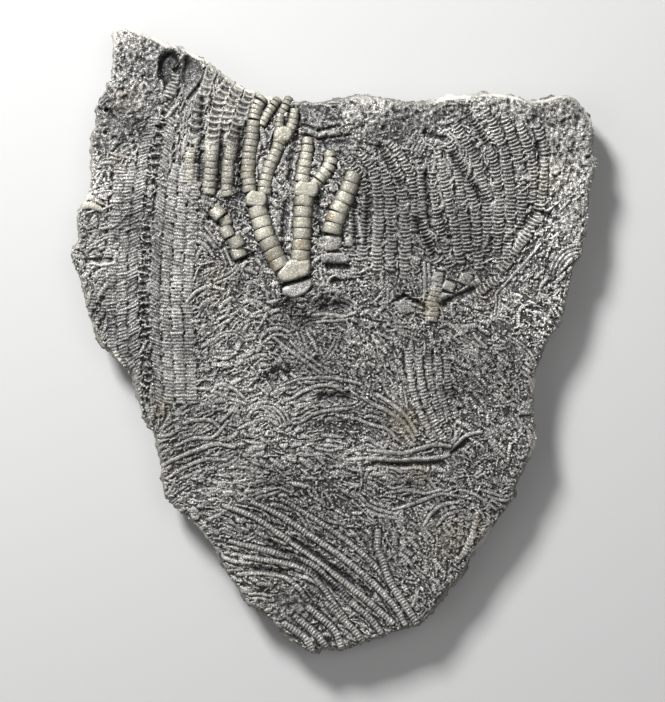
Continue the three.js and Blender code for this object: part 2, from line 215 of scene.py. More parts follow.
# The long strands at the foot and the cirri: each is a route of (x, y, width).
LONG_STRANDS = {
    "a": [(-27.6, -41.4, 1.3), (-22.0, -43.4, 1.5), (-17.5, -45.9, 1.6), (-12.7, -49.2, 1.7),
          (-8.2, -52.3, 1.8), (-3.8, -55.4, 1.8), (0.1, -58.6, 1.8), (4.9, -62.5, 1.8), (9.6, -66.4, 1.8),
          (14.4, -70.6, 1.7)],
    "b": [(-26.0, -50.4, 1.3), (-19.7, -51.9, 1.6), (-14.9, -53.2, 1.7), (-9.5, -54.8, 1.8),
          (-5.4, -56.4, 1.8), (-1.5, -59.9, 1.8), (2.3, -63.8, 1.8), (5.8, -67.0, 1.8), (9.6, -70.4, 1.7),
          (11.6, -73.2, 1.6)],
    "c": [(-22.3, -54.2, 1.3), (-17.5, -55.0, 1.5), (-12.7, -55.8, 1.6), (-8.2, -56.9, 1.6),
          (-5.2, -58.6, 1.6), (-3.2, -61.4, 1.6), (-0.6, -65.4, 1.6), (2.6, -69.6, 1.6)],
    "d": [(-20.4, -40.6, 1.3), (-15.2, -43.0, 1.5), (-10.8, -45.6, 1.6), (-6.3, -48.8, 1.7),
          (-1.5, -51.9, 1.7), (3.3, -55.4, 1.7), (7.1, -58.6, 1.7), (10.6, -61.8, 1.7), (13.5, -64.9, 1.7),
          (16.0, -68.0, 1.7), (17.6, -71.0, 1.6)],
    "e": [(-13.0, -40.0, 1.2), (-6.4, -43.8, 1.4), (-0.6, -47.6, 1.5), (4.6, -51.4, 1.5), (9.6, -56.0, 1.6),
          (13.4, -60.6, 1.6), (16.6, -64.8, 1.6), (19.4, -69.4, 1.5)],
    "f": [(10.9, -48.0, 1.8), (10.8, -52.0, 2.0), (12.2, -55.6, 2.0), (13.4, -59.2, 2.0),
          (15.6, -63.2, 2.0), (18.4, -67.4, 2.0), (20.6, -71.0, 1.9)],
    "g": [(-9.6, -69.4, 1.8), (-6.6, -71.8, 2.0), (-3.6, -74.6, 2.0), (-2.0, -77.2, 1.9)],
    "h": [(-6.4, -67.0, 1.8), (-3.0, -69.8, 2.0), (0.2, -73.0, 2.0), (1.8, -77.0, 1.9)],
    "i": [(-12.4, -71.0, 1.7), (-9.4, -73.0, 1.9), (-6.8, -75.2, 2.0), (-5.4, -78.0, 1.9)],
    "j": [(-1.8, -66.0, 1.6), (2.0, -69.8, 1.8), (5.2, -73.0, 1.8), (7.2, -75.8, 1.7)],
    "k": [(-24.0, -58.6, 1.2), (-18.6, -58.2, 1.3), (-13.4, -59.0, 1.4), (-9.4, -61.6, 1.4),
          (-6.8, -65.0, 1.4)],
}
CIRRI = {
    "looped": [(36.6, -23.0, 1.1), (33.2, -23.8, 1.2), (30.7, -26.1, 1.3), (28.5, -28.7, 1.3),
               (25.4, -29.5, 1.3), (20.1, -29.9, 1.4), (15.8, -30.3, 1.3), (12.0, -29.8, 1.3),
               (7.4, -29.6, 1.2), (3.4, -29.9, 1.0)],
    "looped_upper": [(28.8, -26.6, 1.2), (25.6, -26.2, 1.3), (21.4, -27.2, 1.3), (17.6, -28.2, 1.3),
                     (12.8, -28.0, 1.2), (8.4, -27.6, 1.0)],
    "arc_a": [(7.6, -34.6, 0.9), (8.6, -32.6, 1.1), (10.9, -31.4, 1.2), (13.8, -31.6, 1.2),
              (16.8, -33.2, 1.0)],
    "arc_b": [(13.0, -38.4, 0.9), (18.6, -37.6, 1.1), (23.0, -38.4, 1.1), (26.4, -37.6, 1.0)],
    "arc_c": [(14.6, -42.4, 0.9), (18.9, -41.3, 1.1), (22.4, -40.0, 1.2), (26.4, -38.6, 1.1),
              (30.4, -39.0, 1.0)],
    "arc_d": [(31.6, -37.6, 1.0), (34.6, -38.4, 1.1), (37.4, -40.2, 1.1), (40.4, -42.4, 0.9)],
    "arc_e": [(22.4, -46.4, 0.9), (24.4, -43.2, 1.1), (27.4, -41.2, 1.2), (31.0, -40.6, 1.0)],
    "arc_f": [(25.6, -46.6, 0.9), (27.8, -44.0, 1.1), (31.0, -42.8, 1.0)],
    "brown_a": [(7.0, -14.4, 1.0), (10.4, -16.4, 1.2), (14.2, -18.4, 1.3), (17.4, -21.0, 1.3),
                (20.0, -25.0, 1.2)],
    "brown_b": [(10.6, -13.6, 1.0), (14.6, -16.2, 1.2), (18.0, -19.2, 1.2), (20.4, -23.0, 1.1)],
    "brown_c": [(5.4, -19.6, 0.9), (9.2, -21.2, 1.1), (13.2, -22.4, 1.1), (16.2, -25.4, 1.0)],
    "mid_a": [(-18.2, 0.6, 0.9), (-16.6, 2.4, 1.1), (-14.0, 2.9, 1.2), (-11.4, 2.0, 1.0)],
    "mid_b": [(-17.6, -0.6, 0.9), (-15.6, 1.0, 1.0), (-13.6, 1.4, 1.0), (-12.0, 0.6, 0.9)],
    "mid_c": [(-14.9, 0.4, 1.0), (-12.6, -1.6, 1.1), (-9.4, -4.0, 1.1), (-6.0, -6.4, 1.1),
              (-2.8, -8.9, 1.0)],
    "mid_d": [(-11.0, -0.4, 0.9), (-8.2, -3.0, 1.0), (-5.0, -5.4, 1.0), (-1.0, -8.0, 0.9)],
    "mid_e": [(-13.4, -11.4, 0.9), (-9.0, -10.0, 1.0), (-3.6, -9.4, 1.1), (2.4, -10.0, 1.1),
              (6.6, -11.0, 1.0)],
    "mid_f": [(-10.6, -14.6, 0.9), (-7.4, -12.6, 1.1), (-3.6, -11.4, 1.1), (1.0, -11.6, 1.0)],
    "mid_g": [(-8.4, -20.6, 0.9), (-5.2, -18.6, 1.1), (-1.0, -17.6, 1.2), (3.4, -17.2, 1.1)],
    "mid_h": [(-24.0, -22.2, 0.9), (-20.4, -20.6, 1.1), (-16.8, -19.8, 1.1), (-14.2, -21.2, 1.0)],
    "mid_i": [(-38.4, -13.6, 0.9), (-35.2, -12.2, 1.0), (-31.4, -12.4, 1.1), (-27.0, -14.2, 1.1),
              (-22.2, -16.0, 1.0)],
    "mid_j": [(-30.6, -13.0, 0.9), (-28.4, -11.0, 1.1), (-25.6, -12.0, 1.1), (-22.6, -14.4, 0.9)],
    "mid_k": [(-37.0, 9.4, 0.9), (-34.6, 12.0, 1.1), (-31.0, 13.4, 1.2), (-27.6, 12.6, 1.0)],
    "low_a": [(-37.6, -20.8, 1.0), (-34.0, -20.0, 1.2), (-30.8, -20.2, 1.2), (-27.4, -23.2, 1.1)],
    "low_b": [(-43.0, -31.4, 1.0), (-38.6, -29.2, 1.2), (-34.0, -27.4, 1.3), (-29.6, -26.0, 1.3),
              (-25.0, -26.8, 1.1)],
    "low_c": [(-41.8, -34.6, 0.9), (-36.6, -31.4, 1.1), (-31.6, -29.8, 1.1), (-27.0, -30.0, 1.0)],
    "low_d": [(-39.8, -26.6, 0.9), (-35.0, -24.6, 1.1), (-30.6, -24.4, 1.1), (-26.6, -20.4, 1.0)],
    "cream_a": [(-37.0, 25.6, 1.0), (-34.6, 26.6, 1.3), (-32.0, 25.8, 1.3), (-29.8, 23.2, 1.1)],
    "cream_b": [(-37.0, 23.8, 1.0), (-34.4, 24.6, 1.2), (-32.0, 23.4, 1.2), (-30.6, 21.4, 1.0)],
    "shelf": [(-5.4, 6.0, 1.1), (-1.6, 6.6, 1.3), (2.0, 6.0, 1.2), (5.2, 6.8, 1.0)],
    "left_edge_a": [(-66.0, 21.2, 1.1), (-62.6, 20.6, 1.3), (-58.8, 18.8, 1.2), (-55.4, 19.2, 1.0)],
    "sliver_a": [(51.6, 24.0, 0.7), (46.0, 17.6, 0.9), (40.4, 11.6, 0.8)],
}

# Which way the small litter runs: (x, y, heading in degrees, how far single pieces stray from it).
FLOW = [
    (-52, 68, 75, 30), (-53, 55, 60, 40), (-58, 42, 20, 30), (-60, 24, 30, 25), (-59, 8, 68, 15),
    (-46, 20, 88, 10), (-46, 50, 80, 25), (-47, -12, 100, 18), (-36, 30, 140, 45), (-36, 8, 25, 30),
    (-30, 45, 85, 20), (-20, 12, 10, 50), (-24, 2, 35, 35), (-12, 4, -5, 30), (-8, -4, -38, 18),
    (-28, -10, 15, 30), (-32, -26, 28, 15), (-40, -34, 25, 20), (-20, -22, 10, 25), (-6, -16, 15, 18),
    (-20, -34, -15, 15), (-32, -42, -8, 14), (-6, -34, -22, 18), (-18, -48, -20, 12), (0, -56, -38, 10),
    (-16, -64, -12, 30), (12, -66, -42, 12), (4, -42, -30, 18), (14, -50, -60, 20), (24, -56, -60, 20),
    (10, -26, -12, 20), (22, -34, 0, 30), (36, -32, -45, 45), (44, -20, -45, 30), (32, -46, -50, 30),
    (38, -8, -45, 18), (50, 4, -35, 25), (20, -10, -82, 10), (10, -6, -50, 20), (6, 8, -25, 35),
    (14, 10, -30, 40), (40, 6, -25, 25), (52, 18, 42, 25), (56, 34, 58, 25), (58, 50, 75, 30),
    (48, 57, 20, 35), (24, 52, 5, 30), (8, 54, -4, 14), (2, 46, -30, 25), (30, 40, 95, 25),
    (0, 16, -10, 40),
]

# Hollows and swells of the bedding: (x0, y0, x1, y1, half width, depth); a swell has a negative depth.
RELIEF = [
    (20.7, 30.0, 25.0, 21.6, 1.1, 1.1), (29.6, 46.0, 37.4, 35.0, 1.1, 1.1),
    (27.6, 9.4, 34.4, 12.6, 0.9, 1.3), (-13.0, 13.8, -6.2, 15.8, 0.42, 1.2),
    (-12.0, 8.8, -6.4, 4.6, 2.0, 1.4), (-2.6, 8.4, 2.4, 8.6, 1.8, 1.3), (-3.2, 49.2, 3.2, 49.8, 1.2, 1.1),
    (-1.6, 18.6, 3.2, 18.2, 0.8, 1.4), (-31.0, 30.6, -27.4, 29.0, 0.9, 1.2),
    (-24.8, 20.2, -20.8, 21.4, 0.9, 1.2), (-13.0, 20.6, -12.2, 34.0, 1.2, 0.9),
    (-23.6, 36.0, -23.4, 52.0, 1.0, 1.0), (-11.4, 40.0, -9.4, 52.0, 0.9, 0.8),
    (-28.9, 38.0, -28.0, 52.0, 0.8, 0.9), (-33.6, 40.0, -32.8, 60.0, 0.8, 0.9),
    (-3.0, 25.0, -4.8, 38.0, 1.0, 0.9), (5.6, 24.0, 4.8, 38.0, 0.8, 0.8),
    (10.0, -31.2, 27.0, -30.9, 0.7, 1.0), (29.4, -28.2, 33.0, -25.2, 0.7, 0.9),
    (-18.0, -10.0, -12.0, -8.0, 1.6, 0.9), (-3.0, -14.4, 3.0, -14.2, 1.5, 0.9),
    (8.0, 24.0, 8.6, 36.0, 0.6, 0.5), (24.0, 28.0, 22.8, 42.0, 0.7, 0.7),
    (-62.0, 20.0, -56.0, 20.2, 0.7, 0.8), (-16.0, -50.4, 4.0, -65.0, 0.9, 0.9),
    (-10.0, -50.0, 9.0, -63.4, 0.8, 0.9), (-20.0, -57.0, -8.0, -58.6, 0.8, 0.7),
    (-8.0, 51.5, -4.0, 50.3, 0.35, 0.6), (-4.0, 50.3, 4.0, 51.4, 0.35, 0.6),
    (-8.0, 54.0, -4.0, 52.5, 0.4, 0.7), (-4.0, 52.5, 1.0, 53.6, 0.4, 0.7),
    (14.0, 56.0, 4.0, 56.4, 2.6, -0.8), (-22.0, -30.0, -2.0, -34.0, 7.0, -0.7),
    (48.0, 57.0, 58.0, 58.0, 3.0, -0.5), (11.4, 48.5, 17.0, 38.6, 0.9, 0.9),
    (33.4, 56.5, 38.1, 49.3, 0.8, 0.8), (42.5, 23.8, 50.5, 32.2, 0.9, 0.8),
    (52.3, 31.6, 53.6, 31.2, 0.8, 0.9), (50.9, 49.4, 51.3, 45.7, 0.7, 0.7),
    (23.0, 51.8, 27.4, 50.4, 0.9, 0.8), (-60.0, 58.0, -57.0, 57.6, 0.4, 0.8),
    (-57.0, 57.6, -54.6, 55.4, 0.35, 0.6), (14.7, 9.6, 17.4, 11.2, 0.35, 0.9),
    (17.4, 11.2, 20.8, 9.6, 0.35, 0.9), (20.8, 9.6, 23.2, 7.6, 0.35, 0.8), (0.0, 14.6, 1.0, 14.6, 0.7, 0.9),
    (-14.0, -62.0, -18.0, -60.0, 4.0, -0.6), (-51.0, 60.0, -52.0, 72.0, 3.0, -0.6),
    (38.0, -28.0, 40.0, -14.0, 4.0, -0.5),
]
# The smooth hollow near the top left: its two lobes as (x, y, half width, half height, depth), then the
# thin ridge between them and the crack down its right side as (x0, y0, x1, y1, half width, depth).
POCKET_LOBES = [(-41.2, 67.8, 3.3, 5.2, 1.5), (-35.6, 65.6, 3.2, 6.2, 0.9)]
POCKET_LINES = [(-39.9, 68.2, -37.4, 71.4, 0.45, -0.9), (-32.4, 67.0, -33.9, 63.6, 0.3, 0.45),
                (-33.9, 63.6, -36.4, 60.4, 0.42, 0.8)]

RING_MIDDLE = (0.5, 14.6, 0.9)  # the bare middle of the ring of thin ropes: x, y and reach

WIDEST = 7.39  # height at which the slab's outline is widest
SHOULDER = 10.4  # height up to which the body keeps the shape of the plain slab
FACE_FLOOR = 6.9  # height of the flat underside of the face's courses, inside the stone
RIM_BAND = 1.6  # how far in from the outline the look of the broken rim reaches

# Iron stains: (x, y, reach, strength).
STAINS = [
    (17, -21, 6.5, 1.0), (20, -34, 5.5, 1.0), (28, -50, 7.5, 0.9), (-43, -18, 5.5, 0.9), (24, 9, 4.6, 1.0),
    (36, -46, 4.0, 0.6), (-52, 60, 4.5, 0.5), (-54, 45, 4.0, 0.5), (-12, -53, 6.0, 0.3),
    (-16, -63, 5.0, 0.25), (54, 40, 7.0, 0.3), (38, 12, 5.0, 0.25), (-28, 15, 7.0, 0.35),
    (-40, -30, 6.0, 0.3), (44, -8, 6.0, 0.3),
]
# Darker ground, and ground pale with mineral: (x, y, reach, strength).
# The spot at (-42, 68.4) is painted shade over the left lobe of the smooth hollow.
SHADED = [
    (14, 32, 15, 0.8), (36, 34, 16, 0.35), (-4, 2, 18, 0.45), (-32, -26, 18, 0.5), (-42, 68.4, 5, 1.0),
    (2, -58, 20, 0.25), (22, -12, 14, 0.45), (-2, 8, 6, 0.7), (-9, 6, 5, 0.6), (27, 26, 12, 0.4),
]
BLOOM = [
    (42, 60, 15, 0.8), (60, 38, 14, 1.3), (60, 56, 10, 0.6), (-52, 70, 15, 0.6), (-48, 62, 10, 0.25),
    (-28, 58, 9, 0.35), (8, 58, 12, 0.8), (-56, 42, 12, 0.5), (-58, 20, 8, 0.35), (26, 50, 8, 0.3),
    (52, 8, 18, 1.3), (-12, 34, 20, 0.35), (52, -2, 10, 0.6), (-4, 44, 9, 0.3), (58, 26, 20, 1.4),
    (-17, 29, 8, 0.6), (38, -24, 14, 0.45),
]
# Cream, freshly broken patches on the rim: (x, y, reach).
FRESH_BREAKS = [
    (49.6, -26, 5.0), (49.8, -11, 3.0), (-60.4, 34.6, 3.6), (-54.6, -4.2, 3.0), (-24, 65, 9.0),
    (-14, 61, 7.0), (-34, 71, 8.0), (-52, 78, 7.0), (-44, 75, 7.0), (42, 61.6, 9.0), (30, 61.5, 8.0),
    (54, 61, 8.0), (63.6, 55, 4.0), (38, -51, 6.0), (-33, -49, 5.0),
]
# Ground without stems, only granules: (x, y, reach).
GRANULAR = [
    (-52, 70, 14), (-50, 60, 9), (-56, 52, 6), (8, 58, 10), (20, 57, 8), (45, 60, 12), (58, 44, 11),
    (58, 54, 10), (-5, 55, 4), (60, 30, 7), (-12, 30, 6), (-12, 44, 5), (2, 30, 4), (-2, 50, 4),
    (-26, 44, 5), (-10, -67, 6),
]


# ---------------------------------------------------------------------------------------------------
# Settings shown in the sidebar.

class SlabSettings(bpy.types.PropertyGroup):
    """Sizes of the stone itself."""

    cell: bpy.props.FloatProperty(
        name="Body cell", description="Spacing of the points on the broken sides and the back",
        default=0.0007, unit="LENGTH")
    face_cell: bpy.props.FloatProperty(
        name="Face cell", description="Spacing of the points that carry the relief of the face",
        default=0.000205, unit="LENGTH")
    face_height: bpy.props.FloatProperty(
        name="Face height", description="Height of the bedding surface above the underside",
        default=0.0112, unit="LENGTH")
    rim_width: bpy.props.FloatProperty(
        name="Rim width", description="How far in from the broken edge the face starts to fall away",
        default=0.0022, unit="LENGTH")


class FossilSettings(bpy.types.PropertyGroup):
    """How thickly the fossils are strewn."""

    litter: bpy.props.IntProperty(
        name="Litter", description="Short lengths of arm, cirrus and side branch strewn over the face",
        default=24000)
    filaments: bpy.props.IntProperty(
        name="Filaments", description="Long curved cirri and side branches lying over the litter",
        default=420)
    grains: bpy.props.IntProperty(
        name="Grains", description="Mineral grains sitting among the litter", default=2000)


class FinishSettings(bpy.types.PropertyGroup):
    """Colours of the stone, and the near black that is painted into its low places as shade."""

    # Painted shade: near black given to what lies low between the fossils and to the lower sides of arms;
    # the dark sutures between arm plates use it too.
    shade_and_suture: bpy.props.FloatVectorProperty(
        name="Crevice", description="Dark shale deep between the fossils", subtype="COLOR",
        default=(0.007, 0.007, 0.0072))
    # The stone's own grey, given in full only to what stands proud; lower places are painted darker from it
    # as shade.
    crest: bpy.props.FloatVectorProperty(
        name="Crest", description="Worn, graphite grey tops of the ridges", subtype="COLOR",
        default=(0.292, 0.284, 0.263))
    plate: bpy.props.FloatVectorProperty(
        name="Plate", description="Warm grey calcite of the large arm plates", subtype="COLOR",
        default=(0.3, 0.287, 0.242))
    arm: bpy.props.FloatVectorProperty(
        name="Arm", description="Satin, olive cream calcite of the main crown", subtype="COLOR",
        default=(0.235, 0.224, 0.186))
    stain: bpy.props.FloatVectorProperty(
        name="Stain", description="Brown iron stain", subtype="COLOR", default=(0.165, 0.134, 0.083))
    fresh: bpy.props.FloatVectorProperty(
        name="Fresh break", description="Cream mineral on freshly broken rims", subtype="COLOR",
        default=(0.54, 0.52, 0.455))


class StageSettings(bpy.types.PropertyGroup):
    """Floor, camera and lights."""

    floor_colour: bpy.props.FloatVectorProperty(
        name="Floor", description="Colour of the plain floor", subtype="COLOR", default=(0.33, 0.33, 0.328))
    focal_length: bpy.props.FloatProperty(
        name="Focal length", description="Focal length of the camera in millimetres", default=90.0)
    view_height: bpy.props.FloatProperty(
        name="View height", description="Height of the field of view at the face", default=0.1755,
        unit="LENGTH")


# ---------------------------------------------------------------------------------------------------
# The shape of the slab and of its bedding.

shape = {}  # the slab's outline in millimetres, once outline() has measured it
laid = []  # x, y and reach of every ossicle placed so far, so that litter keeps off it


def merged_copy(node):
    """A bmesh of a CAD node with its loose triangles joined up."""
    bm = bmesh.new()
    bm.from_mesh(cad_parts[node].data)
    bmesh.ops.remove_doubles(bm, verts=bm.verts, dist=1e-6)
    return bm


def as_object(bm, name):
    """An object of a bmesh, not yet linked to the scene."""
    mesh = bpy.data.meshes.new(name)
    bm.to_mesh(mesh)
    bm.free()
    return bpy.data.objects.new(name, mesh)


def outline():
    """The slab's widest outline as an ordered ring of points in millimetres."""
    if "ring" not in shape:
        bm = merged_copy(SLAB_NODE)
        height = SLAB_LOW.z + WIDEST * MM
        cut = bmesh.ops.bisect_plane(
            bm, geom=bm.verts[:] + bm.edges[:] + bm.faces[:], plane_co=(0, 0, height), plane_no=(0, 0, 1),
            clear_outer=True, clear_inner=True)
        edges = {e for e in cut["geom_cut"] if isinstance(e, bmesh.types.BMEdge)}
        vert = next(iter(edges)).verts[0]
        ring = []
        while edges:
            ring.append((vert.co.x / MM, vert.co.y / MM))
            edge = next((e for e in vert.link_edges if e in edges), None)
            if edge is None:
                break
            edges.remove(edge)
            vert = edge.other_vert(vert)
        bm.free()
        shape["ring"] = np.array(ring)
    return shape["ring"]


def depth_inside(x, y, ring=None):
    """How far each point lies inside a ring, or the slab's outline, in millimetres; negative outside it."""
    x, y = np.atleast_1d(x).astype(float), np.atleast_1d(y).astype(float)
    start = outline() if ring is None else ring
    end = np.roll(start, -1, axis=0)
    run = end - start
    nearest = np.full(x.shape, np.inf)
    crossings = np.zeros(x.shape, int)
    for (ax, ay), (_, by), (rx, ry) in zip(start, end, run):
        share = np.clip(((x - ax) * rx + (y - ay) * ry) / (rx * rx + ry * ry), 0, 1)
        nearest = np.minimum(nearest, np.hypot(x - ax - share * rx, y - ay - share * ry))
        straddles = (ay > y) != (by > y)
        if ry:
            crossings += straddles & (x < ax + (y - ay) / ry * rx)
    return np.where(crossings % 2, nearest, -nearest)


def plain_bedding(x, y):
    """Height of the bare, gently swelling bedding in millimetres."""
    swell = np.sin(x / 19 + 0.6) * np.cos(y / 23 - 0.4) + 0.5 * np.sin((x + y) / 11)
    return bpy.context.scene.fossil_slab.face_height / MM + 0.45 * swell


def bedding(x, y):
    """Height of the bedding with its hollows in millimetres, without the fall at the rim."""
    x, y = np.asarray(x, float), np.asarray(y, float)
    height = plain_bedding(x, y)
    for line in RELIEF:
        height = height - furrow(x, y, *line)
    scoop = np.zeros(x.shape)
    for px, py, half_width, half_height, depth in POCKET_LOBES:
        aside, up = (x - px) / half_width, (y - py) / half_height
        wall = np.clip(2.2 * (1.0 - np.hypot(aside, up)), 0, 1)
        fall = np.clip(0.75 + 0.3 * up - 0.15 * aside, 0, 1)
        scoop = np.maximum(scoop, depth * fall * wall * wall * (3 - 2 * wall))
    for line in POCKET_LINES:
        scoop = scoop + furrow(x, y, *line)
    return height - scoop


def furrow(x, y, x0, y0, x1, y1, reach, depth):
    """Depth of a soft furrow from one point to another, or of a ridge where depth is negative."""
    rx, ry = x1 - x0, y1 - y0
    share = np.clip(((x - x0) * rx + (y - y0) * ry) / (rx * rx + ry * ry), 0, 1)
    away = np.hypot(x - x0 - share * rx, y - y0 - share * ry) / reach
    return depth * np.exp(-away * away)


def in_pocket(x, y):
    """True inside either lobe of the smooth hollow."""
    lobes = [np.hypot((x - px) / w, (y - py) / h) < 1 for px, py, w, h, _ in POCKET_LOBES]
    return np.any(lobes, axis=0)


def near(x, y, spots):
    """How near each point is to any spot of (x, y, reach), from 0 to 1."""
    shares = [np.clip(2 - 2 * np.hypot(x - px, y - py) / reach, 0, 1) for px, py, reach in spots]
    return np.max(shares, axis=0)


def rounded(points):
    """A closed outline with its corners cut off twice over."""
    ring = np.array(points, float)
    for _ in range(2):
        following = np.roll(ring, -1, axis=0)
        cut = np.stack([0.84 * ring + 0.16 * following, 0.16 * ring + 0.84 * following], axis=1)
        ring = cut.reshape(-1, 2)
    return ring


def rim_fall(inside):
    """How far the face falls towards the broken rim, at each depth inside it, in millimetres."""
    rim = bpy.context.scene.fossil_slab.rim_width / MM
    return 1.5 * np.clip(1 - inside / rim, 0, 1) ** 2


def ground(x, y):
    """Height of the stone's face in millimetres, with its fall towards the broken rim."""
    return bedding(x, y) - rim_fall(depth_inside(x, y)).reshape(np.shape(x))


def flow(x, y):
    """Heading of the litter at each point and how far it strays, both in radians."""
    spots = np.array(FLOW, float)
    away = (x[:, None] - spots[:, 0]) ** 2 + (y[:, None] - spots[:, 1]) ** 2
    weight = 1 / (away + 4) ** 2
    weight /= weight.sum(axis=1, keepdims=True)
    twice = np.radians(2 * spots[:, 2])
    heading = 0.5 * np.arctan2(weight @ np.sin(twice), weight @ np.cos(twice))
    return heading, np.radians(weight @ spots[:, 3])


def smooth_route(points, step):
    """Even steps along a smooth curve through (x, y, width) points, and the heading at each."""
    knots = np.array(points, float)
    gaps = np.hypot(*np.diff(knots[:, :2], axis=0).T)
    along = np.concatenate([[0], np.cumsum(gaps)])
    slopes = np.gradient(knots, along, axis=0)
    fine = np.linspace(0, along[-1], max(12, int(along[-1] * 8)))
    i = np.clip(np.searchsorted(along, fine) - 1, 0, len(gaps) - 1)
    t, h = ((fine - along[i]) / gaps[i])[:, None], gaps[i][:, None]
    curve = ((2 * t ** 3 - 3 * t ** 2 + 1) * knots[i] + (t ** 3 - 2 * t ** 2 + t) * h * slopes[i]
             + (3 * t ** 2 - 2 * t ** 3) * knots[i + 1] + (t ** 3 - t ** 2) * h * slopes[i + 1])
    travelled = np.concatenate([[0], np.cumsum(np.hypot(*np.diff(curve[:, :2], axis=0).T))])
    count = max(1, round(travelled[-1] / step))
    stops = (np.arange(count) + 0.5) * travelled[-1] / count
    route = np.stack([np.interp(stops, travelled, curve[:, k]) for k in range(3)], axis=1)
    ahead = np.stack([np.interp(stops + 0.1, travelled, curve[:, k]) for k in range(2)], axis=1)
    behind = np.stack([np.interp(stops - 0.1, travelled, curve[:, k]) for k in range(2)], axis=1)
    heading = np.arctan2(*(ahead - behind).T[::-1])
    return route, heading, travelled[-1] / count


# ---------------------------------------------------------------------------------------------------
# The relief of the face, pressed on a fine grid.

def blurred(grid, reach):
    """A grid smoothed by a bell of the given reach, in cells."""
    across = np.fft.rfftfreq(grid.shape[1])[None, :]
    down = np.fft.fftfreq(grid.shape[0])[:, None]
    bell = np.exp(-2 * (math.pi * reach) ** 2 * (across ** 2 + down ** 2))
    return np.fft.irfft2(np.fft.rfft2(grid) * bell, s=grid.shape)


def granules(grid_shape, reach, dice):
    """Smooth random bumps of unit spread."""
    field = blurred(dice.standard_normal(grid_shape), reach)
    return field / field.std()


SMOOTH = 9.0  # a pitch of ribs, in millimetres, for what has none


